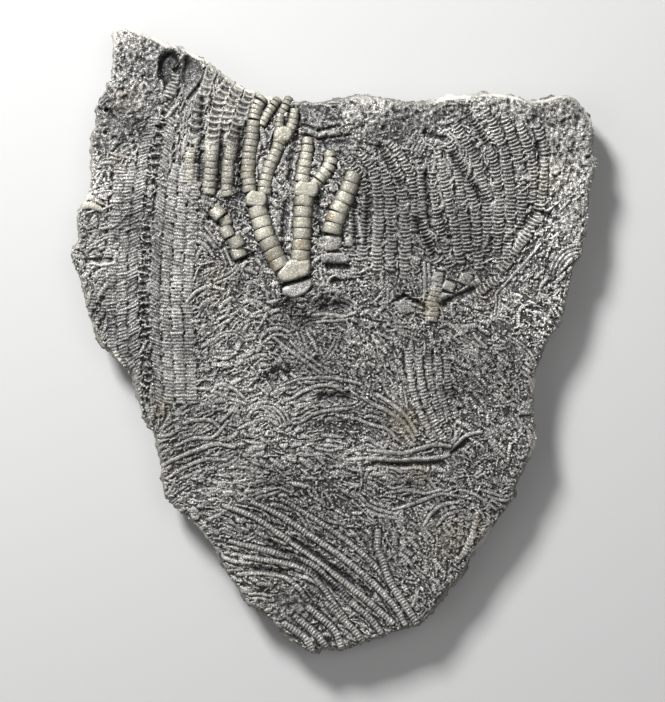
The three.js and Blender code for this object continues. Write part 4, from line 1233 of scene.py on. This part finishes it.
def with_stains(tree, where, colour, clouds, mottle):
    """A colour with the brown iron stains, and as many small brown spots as mottle says."""
    rust = bpy.context.scene.fossil_finish.stain
    brown = blend_colour(tree, 1.0, colour, [min(1.0, 3.4 * c) for c in rust], "MULTIPLY")
    brown = blend_colour(tree, 0.35, brown, rust)
    stains = patches(tree, where, "Iron stains", STAINS)
    stain = maths(tree, "MULTIPLY", stains, spread(tree, clouds, 0.32, 0.62, 0.05, 0.65))
    spots = node(tree, "ShaderNodeTexNoise", {"Vector": where, "Scale": 420.0, "Detail": 4.0}).outputs[0]
    stain = maths(tree, "ADD", stain, spread(tree, spots, 0.55, 0.72, 0.0, mottle), clamp=True)
    return blend_colour(tree, stain, colour, brown)


def with_breaks(tree, where, colour, speckle, clouds, rim, breaks):
    """A colour with the cream of the broken rim, full on the fresh breaks and by breaks elsewhere."""
    broken = patches(tree, where, "Fresh breaks", FRESH_BREAKS)
    ragged = spread(tree, clouds, 0.3, 0.6, 0.45, 0.9)
    chipped = maths(tree, "MULTIPLY", spread(tree, rim, 0.12, 0.6), ragged)
    chipped = maths(tree, "MULTIPLY", chipped, maths(tree, "ADD", breaks, broken), clamp=True)
    chipped = maths(tree, "MULTIPLY", chipped, spread(tree, speckle, 0.3, 0.6, 0.7, 1.0))
    return blend_colour(tree, chipped, colour, bpy.context.scene.fossil_finish.fresh)


def stone_material(name, crest, low, high, sheen=0.3, roughness=0.46, grain=0.00032, bump=0.5, speck=1.0,
                   breaks=0.25, mottle=0.0):
    """Dark pyritised shale with painted shade: near black where it lies low, crest colour on what stands
    proud.

    It goes from painted shade to crest between the lifts low and high. grain is the size of the grain in
    metres and speck how strong it shows; breaks is how cream the whole rim is, and mottle how stained the
    stone.
    """
    finish = bpy.context.scene.fossil_finish
    material = bpy.data.materials.new(name)
    material.use_nodes = True
    tree = material.node_tree
    shader = tree.nodes["Principled BSDF"]
    where = node(tree, "ShaderNodeTexCoord").outputs["Object"]
    lift, rim, tone, joint, warm = (
        node(tree, "ShaderNodeAttribute", attribute_name=title).outputs["Fac"]
        for title in ("lift", "rim", "tone", "joint", "warm"))
    surface = node(tree, "ShaderNodeGroup", {"Vector": where, "Grain size": grain}, node_tree=grain_group())
    speckle, fleck, height = (surface.outputs[title] for title in ("Speckle", "Fleck", "Height"))
    clouds = node(tree, "ShaderNodeTexNoise", {"Vector": where, "Scale": 90.0, "Detail": 3.0}).outputs[0]
    grit = maths(tree, "MULTIPLY", maths(tree, "SUBTRACT", speckle, 0.5), 0.9 * speck)
    # Painted shade: by its lift, what lies low (hollows, moats, the lower sides of arms and plates) is
    # blended towards near black, and what stands proud keeps the crest colour.
    proud = spread(tree, maths(tree, "ADD", lift, grit), low, high)
    colour = blend_colour(tree, warm, crest, finish.plate)
    colour = blend_colour(tree, proud, finish.shade_and_suture, colour)
    suture = maths(tree, "MULTIPLY", joint, spread(tree, clouds, 0.35, 0.6, 0.6, 0.95))
    colour = blend_colour(tree, suture, colour, finish.shade_and_suture)
    shade = stone_shade(tree, where, speckle, clouds, tone, speck)
    grey = node(tree, "ShaderNodeCombineColor", {0: shade, 1: shade, 2: shade}).outputs[0]
    colour = blend_colour(tree, 1.0, colour, grey, "MULTIPLY")
    colour = with_stains(tree, where, colour, clouds, mottle)
    colour = with_breaks(tree, where, colour, speckle, clouds, rim, breaks)
    # Painted glint: the flecks are made pale in the base colour, partly pyrite's own colour, partly
    # standing in for its glint.
    glint = maths(tree, "MULTIPLY", fleck, 0.5 * speck)
    colour = blend_colour(tree, glint, colour, PYRITE)
    rough = spread(tree, speckle, 0.3, 0.8, roughness + 0.14, roughness - 0.1)
    relief = node(tree, "ShaderNodeBump", {"Height": height, "Distance": 0.4 * grain, "Strength": bump})
    for title, source in (("Base Color", colour), ("Roughness", rough), ("Normal", relief.outputs[0]),
                          ("Specular IOR Level", spread(tree, tone, -6.0, -2.0, 0.05, 0.5)),
                          ("Metallic", spread(tree, lift, -0.2, 1.2, 0.4 * sheen, sheen))):
        tree.links.new(source, shader.inputs[title])
    return material


# ---------------------------------------------------------------------------------------------------
# One operator for each piece.

class FOSSIL_OT_stone_slab(bpy.types.Operator):
    """Makes the body of the stone, with its layered broken edge and split back"""

    bl_idname = "fossil.stone_slab"
    bl_label = "Stone slab"

    def execute(self, context):
        settings = context.scene.fossil_slab
        bm = merged_copy(SLAB_NODE)
        shoulder = SLAB_LOW.z + SHOULDER * MM
        bmesh.ops.bisect_plane(bm, geom=bm.verts[:] + bm.edges[:] + bm.faces[:], plane_co=(0, 0, shoulder),
                               plane_no=(0, 0, 1), clear_outer=True)
        bmesh.ops.holes_fill(bm, edges=[e for e in bm.edges if e.is_boundary], sides=0)
        bmesh.ops.recalc_face_normals(bm, faces=bm.faces)
        slab = as_object(bm, "stone_slab")
        context.scene.collection.objects.link(slab)
        remesh = slab.modifiers.new("Even grid", "REMESH")
        remesh.mode = "VOXEL"
        remesh.voxel_size = settings.cell * 1.0
        even = bpy.data.meshes.new_from_object(slab.evaluated_get(context.evaluated_depsgraph_get()))
        slab.modifiers.clear()
        slab.data = even
        self.carve(even, shoulder / MM)
        material = stone_material("Shale matrix", context.scene.fossil_finish.crest, low=-0.6, high=0.9,
                                  grain=0.00034, bump=0.9, breaks=0.4)
        finish_piece(slab, material)
        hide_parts(SLAB_NODE)
        return {"FINISHED"}

    @staticmethod
    def carve(mesh, shoulder):
        """Sets the top below the face that covers it, crumbles the broken sides and ripples the back."""
        co = vertex_places(mesh)
        normals = vertex_normals(mesh)
        x, y, z = co.T.copy()
        inside = depth_inside(x, y)
        top = (z > shoulder - 0.3) | ((normals[:, 2] > 0.75) & (z > 7))
        cover = 0.4 + 0.9 * np.clip((inside - 0.3) / 1.2, 0, 1)
        level = ground(x, y) - cover
        co[top, 2] = level[top]
        side = (~top) & (np.abs(normals[:, 2]) < 0.75)
        co[side, 2] = np.minimum(co[side, 2], level[side])
        crumble = np.array([noise.fractal(Vector((p[0] / 3.0, p[1] / 3.0, p[2] / 1.1)), 0.8, 2.0, 3)
                            + 0.7 * noise.noise(Vector(p)) for p in co[side]])
        layers = np.array([noise.noise(Vector((p[0] / 18.0, p[1] / 18.0, p[2] / 1.2))) for p in co[side]])
        push = 0.8 * crumble + 0.9 * layers - 0.2
        push = np.where(co[side, 2] > FACE_FLOOR, np.maximum(push, 0.15 * crumble), push)
        co[side, :2] += normals[side, :2] * push[:, None]
        under = (~top) & ~side & (z > 0.15)
        co[under, 2] += 0.12 * np.sin(x[under] / 2.3) * np.cos(y[under] / 1.9)
        move_vertices(mesh, co)


class FOSSIL_OT_large_arms(bpy.types.Operator):
    """Lays the big plated arms of the main crown"""

    bl_idname = "fossil.large_arms"
    bl_label = "Large arms"

    def execute(self, context):
        dice = np.random.default_rng(SEED)
        finish = context.scene.fossil_finish
        barrel = [(-0.5, 0.6), (-0.5, 0.87), (-0.48, 0.95), (-0.44, 0.985), (-0.2, 1.0), (0.2, 1.0),
                  (0.44, 0.99), (0.48, 0.955), (0.5, 0.87), (0.5, 0.6)]
        flared = [(-0.5, 0.6), (-0.5, 0.86), (-0.48, 0.93), (-0.44, 0.965), (-0.2, 0.98), (0.2, 1.005),
                  (0.44, 1.015), (0.48, 0.98), (0.5, 0.89), (0.5, 0.6)]
        shapes = [turned_solid("plate_a", barrel, -0.06), turned_solid("plate_b", flared, -0.05)]
        shapes += [cushion(f"plate_c{k}", points) for k, (_, points) in enumerate(CUSHIONS)]
        places = strand_places(MAIN_CROWN, dice, proud=0.4, kinds=2, height=0.76, jitter=0.28)
        for k, (tall, points) in enumerate(CUSHIONS):
            x, y = rounded(points).mean(axis=0)
            places.append(self.one_place(x, y, 0, turn=(0, 0, 0), size=(1, 1, tall), kind=2 + k, tone=0.2))
            laid.append(np.array([[x, y, 2.2]]))
        for k, (x, y, width, length, heading, lean) in enumerate(FALLEN):
            turn = (lean, -lean, math.radians(heading - 90))
            size = (width, length, 0.7 * width)
            places.append(self.one_place(x, y, 0.02 * width, turn, size, kind=k % 2, tone=-0.8))
            laid.append(np.array([[x, y, 0.45 * width]]))
        crown = lay("main_crown", kit("Large arm plates", shapes), places)
        weather(crown.data, depth=0.07, scale=1.0, seed=1)
        finish_piece(crown, stone_material("Arm plates", finish.arm, low=-0.1, high=1.0, roughness=0.42,
                                           grain=0.0005, bump=0.45, speck=0.5, mottle=0.9))
        return {"FINISHED"}

    @staticmethod
    def one_place(x, y, raised, turn, size, kind, tone):
        return np.array([[x, y, float(ground(x, y)) + raised, *turn, *size, kind, tone]])


COURSES = ("face_foot", "face_low", "face_high", "face_head")  # from the foot of the slab upwards


class FOSSIL_OT_face(bpy.types.Operator):
    """Presses ribbed arms, side branches and litter into the face, and makes it in four courses"""

    bl_idname = "fossil.face"
    bl_label = "Face"

    def execute(self, context):
        dice = np.random.default_rng(SEED + 20)
        face = Face(context.scene.fossil_slab.face_cell / MM)
        self.press_feather(face, dice)
        face.press_strands(EDGE_RIBBONS, dice, rise=0.5, lift=-0.02, skew=0.3)
        face.press_strands(RIGHT_CROWN, dice, rise=0.68, lift=-0.06, sag=-0.3, groove=0.78, share=0.88,
                           thin=0.21)
        face.press_plates(OUTER_ARMS, dice, rise=0.3, lift=0.1, sag=-0.12, lens_from=46.0)
        face.press_plates(CROWN_ROOT, dice, rise=0.22, lift=0.05, warm=0.2)
        ladder = {"ladder": (0.9, POCKET_LADDER)}
        face.press_strands(ladder, dice, rise=0.8, lift=0.16, groove=0.9, thin=0.28)
        face.press_strands(LOWER_RIBBONS, dice, rise=0.5, lift=0.0, sag=0.2)
        for rise, tone, warm, lean_x, lean_y, points in FACETS:
            face.press_facet(points, rise, tone, warm, lean_x, lean_y)
        laid.append(np.array([RING_MIDDLE]))
        face.strew(context.scene.fossil_sizes.litter, dice)
        face.lay_filaments(context.scene.fossil_sizes.filaments, dice)
        face.press_ropes(RODS, dice, lift=0.2, moat=0.4, groove=0.2, share=0.5, pitch=0.6)
        face.press_ropes(CIRRI, dice, lift=0.05, moat=0.3, groove=0.32, share=0.38, pitch=0.5)
        face.press_ropes(LONG_STRANDS, dice, lift=0.0, moat=0.4, groove=0.38, share=0.38, sag=-0.2)
        face.roughen(dice)
        material = stone_material("Shale face", context.scene.fossil_finish.crest, low=-0.5, high=0.78)
        solid = self.solid_cells(face)
        area = np.cumsum(solid.sum(axis=1))
        joins = np.searchsorted(area, np.linspace(0, area[-1], len(COURSES) + 1)[1:-1])
        rows = (0, *joins, len(solid))
        for name, first, last in zip(COURSES, rows, rows[1:]):
            self.course(face, solid, name, first, last, material)
        return {"FINISHED"}

    @staticmethod
    def press_feather(face, dice):
        """The feathery arm: ribbons of side branches on both sides, and its axis."""
        for side in (-1, 1):
            for row in range(3 if side < 0 else 4):
                shift = side * (2.8 + 2.75 * row)
                top = 1 if row == 0 else 3
                line = [(x + shift * (0.6 if y > 50 else 1.0), y, 2.9) for x, y, _ in FEATHER_AXIS[top:]]
                lean = side * (0.55 if row == 0 else 0.2 if row == 1 else 0.05)
                ribbon = {"ribbon": (0.82, line)}
                face.press_strands(ribbon, dice, rise=0.4, lift=0.0, skew=-lean, groove=0.62)
        face.press_knuckles(FEATHER_AXIS, dice)

    @staticmethod
    def solid_cells(face):
        """True for each cell of the grid that is stone, with no two cells joined only at a corner."""
        ragged = np.random.default_rng(SEED + 21)
        edge = 0.6 + 0.16 * granules(face.inside.shape, 6.0, ragged)
        edge = edge + 0.12 * granules(face.inside.shape, 2.5, ragged)
        solid = (face.inside > edge)[:-1, :-1]
        solid[0], solid[-1], solid[:, 0], solid[:, -1] = False, False, False, False
        while True:
            a, b, c, d = solid[:-1, :-1], solid[:-1, 1:], solid[1:, :-1], solid[1:, 1:]
            cross = (a & d & ~b & ~c) | (b & c & ~a & ~d)
            if not cross.any():
                return solid
            solid[:-1, :-1] |= cross
            solid[:-1, 1:] |= cross

    @staticmethod
    def course(face, solid, name, first, last, material):
        """One closed course of the face, from one row of cells to another."""
        cell, columns = face.cell, len(face.x) - 1
        bm = bmesh.new()
        bmesh.ops.create_grid(bm, x_segments=columns, y_segments=last - first, size=0.5)
        middle_x, middle_y = 0.5 * (face.x[0] + face.x[-1]), 0.5 * (face.y[first] + face.y[last])
        centre = Vector((middle_x, middle_y, FACE_FLOOR + 1))
        spread_out = Matrix.Diagonal((columns * cell * MM, (last - first) * cell * MM, 1, 1))
        bmesh.ops.transform(bm, matrix=Matrix.Translation(centre * MM) @ spread_out, verts=bm.verts)
        centres = np.array([f.calc_center_median()[:2] for f in bm.faces]) / MM
        i = ((centres[:, 0] - face.x[0]) / cell).astype(int)
        j = ((centres[:, 1] - face.y[0]) / cell).astype(int)
        spare = ~solid[j, i]
        bmesh.ops.delete(bm, geom=[f for f, gone in zip(bm.faces[:], spare) if gone], context="FACES")
        border = [e for e in bm.edges if e.is_boundary]
        for edge in border:
            edge.smooth = False
        wall = bmesh.ops.extrude_edge_only(bm, edges=border)["geom"]
        foot = [g for g in wall if isinstance(g, bmesh.types.BMVert)]
        bmesh.ops.translate(bm, vec=(0, 0, -MM), verts=foot)
        bmesh.ops.holes_fill(bm, edges=[e for e in bm.edges if e.is_boundary], sides=0)
        bmesh.ops.recalc_face_normals(bm, faces=bm.faces)
        piece = as_object(bm, name)
        mesh = piece.data
        co = vertex_places(mesh)
        top = co[:, 2] > FACE_FLOOR + 0.5
        i = np.clip(np.round((co[:, 0] - face.x[0]) / cell).astype(int), 0, len(face.x) - 1)
        j = np.clip(np.round((co[:, 1] - face.y[0]) / cell).astype(int), 0, len(face.y) - 1)
        co[top, 2] = face.top[j, i][top]
        move_vertices(mesh, co)
        # Lift for the painted shade: cells below their surroundings and in the bedding's hollows are
        # painted darker, crests lighter; the walls of the course get a low lift and are painted dark.
        hollow = np.minimum(face.base - blurred(face.base, 12.0), 0)
        crests = 1.8 * (face.top - blurred(face.top, 2.4))
        shown = crests + 0.5 * (face.top - face.base) + 0.5 * hollow - 0.05
        rim = np.where(top, np.clip(1 - face.inside[j, i] / RIM_BAND, 0, 1), 0.0)
        set_attribute(mesh, "lift", np.where(top, shown[j, i], -0.2))
        set_attribute(mesh, "tone", face.tone[j, i])
        set_attribute(mesh, "warm", face.warm[j, i])
        set_attribute(mesh, "rim", rim)
        bpy.context.scene.collection.objects.link(piece)
        finish_piece(piece, material)


class FOSSIL_OT_grains(bpy.types.Operator):
    """Scatters small angular mineral grains among the litter"""

    bl_idname = "fossil.grains"
    bl_label = "Mineral grains"

    def execute(self, context):
        dice = np.random.default_rng(SEED + 40)
        solids = []
        for k in range(3):
            bm = bmesh.new()
            bmesh.ops.create_icosphere(bm, subdivisions=1, radius=0.5)
            for vert in bm.verts:
                vert.co *= 1 + 0.25 * dice.standard_normal()
            solids.append(as_object(bm, f"grain_{k}"))
        count = 2 * context.scene.fossil_sizes.grains  # about half of them fall on an arm or off the slab
        x = dice.uniform(SLAB_LOW.x, SLAB_HIGH.x, count) / MM
        y = dice.uniform(SLAB_LOW.y, SLAB_HIGH.y, count) / MM
        keep = (depth_inside(x, y) > 0.4) & clear_of_strands(x, y, 0.6)
        x, y = x[keep], y[keep]
        count = len(x)
        row = np.zeros((count, 11))
        size = np.clip(0.42 * np.exp(0.35 * dice.standard_normal(count)), 0.22, 1.1)
        row[:, 0], row[:, 1] = x, y
        row[:, 2] = ground(x, y) + 0.32 + 0.12 * dice.standard_normal(count)
        row[:, 3:6] = dice.uniform(0, 6.28, (count, 3))
        row[:, 6:9] = size[:, None]
        row[:, 9] = dice.integers(0, 3, count)
        row[:, 10] = 0.9 * dice.standard_normal(count)
        grains = lay("mineral_grains", kit("Grain shapes", solids), [row])
        crest = context.scene.fossil_finish.crest
        finish_piece(grains, stone_material("Mineral grains", crest, low=-0.1, high=0.7, sheen=0.4,
                                            roughness=0.36, speck=0.6), smooth=False)
        return {"FINISHED"}


VIEW_CENTRE = (-0.5, -2.75)  # the point of the face that the camera looks at, in millimetres
SENSOR_WIDTH = 36  # millimetres
FLOOR_HALF = 3.0  # half the width of the floor in metres
# Soft square lights: name, place in metres, width in metres and power in watts.
LIGHTS = (
    ("key", (-0.26, 0.42, 0.4), 0.14, 10.5),
    ("fill", (-0.5, -0.1, 0.6), 0.5, 1.4),
    ("overhead", (0.25, 0.1, 0.9), 0.6, 3.4),
)


class FOSSIL_OT_stage(bpy.types.Operator):
    """Sets the plain floor, the soft studio lights and the camera above the slab"""

    bl_idname = "fossil.stage"
    bl_label = "Stage"

    def execute(self, context):
        settings = context.scene.fossil_stage
        bm = bmesh.new()
        bmesh.ops.create_grid(bm, x_segments=1, y_segments=1, size=FLOOR_HALF)
        floor = as_object(bm, "floor")
        context.scene.collection.objects.link(floor)
        paint = bpy.data.materials.new("Plain floor")
        paint.use_nodes = True
        shader = paint.node_tree.nodes["Principled BSDF"]
        shader.inputs["Base Color"].default_value = (*settings.floor_colour, 1)
        shader.inputs["Roughness"].default_value = 0.9
        floor.data.materials.append(paint)
        target = Vector((VIEW_CENTRE[0] * MM, VIEW_CENTRE[1] * MM, context.scene.fossil_slab.face_height))
        camera = bpy.data.cameras.new("camera")
        camera.lens = settings.focal_length
        camera.sensor_width = SENSOR_WIDTH
        distance = settings.focal_length / SENSOR_WIDTH * settings.view_height
        viewer = bpy.data.objects.new("camera", camera)
        viewer.location = target + Vector((0, 0, distance))
        context.scene.collection.objects.link(viewer)
        context.scene.camera = viewer
        for light in LIGHTS:
            self.light(*light, target)
        world = bpy.data.worlds.new("studio")
        world.use_nodes = True
        world.node_tree.nodes["Background"].inputs["Color"].default_value = (1, 1, 1, 1)
        world.node_tree.nodes["Background"].inputs["Strength"].default_value = 0.14
        context.scene.world = world
        context.scene.view_settings.view_transform = "Standard"
        return {"FINISHED"}

    @staticmethod
    def light(name, place, size, power, target):
        """A square soft light that faces the target."""
        lamp = bpy.data.lights.new(name, "AREA")
        lamp.size = size
        lamp.energy = power
        holder = bpy.data.objects.new(name, lamp)
        holder.location = place
        holder.rotation_euler = (target - Vector(place)).to_track_quat("-Z", "Y").to_euler()
        bpy.context.scene.collection.objects.link(holder)


class FOSSIL_PT_panel(bpy.types.Panel):
    """Lists the fossil's settings and its pieces"""

    bl_idname = "FOSSIL_PT_panel"
    bl_label = "Crinoid fossil"
    bl_space_type = "VIEW_3D"
    bl_region_type = "UI"
    bl_category = "Fossil"

    def draw(self, context):
        scene = context.scene
        for group in (scene.fossil_slab, scene.fossil_sizes, scene.fossil_finish, scene.fossil_stage):
            for name in group.__annotations__:
                self.layout.prop(group, name)
        for step in STEPS:
            self.layout.operator(step.bl_idname)


STEPS = (FOSSIL_OT_stage, FOSSIL_OT_stone_slab, FOSSIL_OT_large_arms, FOSSIL_OT_face, FOSSIL_OT_grains)
SETTINGS = {"fossil_slab": SlabSettings, "fossil_sizes": FossilSettings, "fossil_finish": FinishSettings,
            "fossil_stage": StageSettings}


def register():
    """Adds the settings, operators and panel."""
    for cls in (*SETTINGS.values(), *STEPS, FOSSIL_PT_panel):
        bpy.utils.register_class(cls)
    for name, cls in SETTINGS.items():
        setattr(bpy.types.Scene, name, bpy.props.PointerProperty(type=cls))


def unregister():
    """Takes them away again."""
    for name in SETTINGS:
        delattr(bpy.types.Scene, name)
    for cls in (FOSSIL_PT_panel, *reversed(STEPS), *SETTINGS.values()):
        bpy.utils.unregister_class(cls)


def main():
    """Builds every piece in order."""
    register()
    for step in STEPS:
        group, name = step.bl_idname.split(".")
        getattr(getattr(bpy.ops, group), name)()
    bpy.context.view_layer.update()


if __name__ == "__main__":
    main()
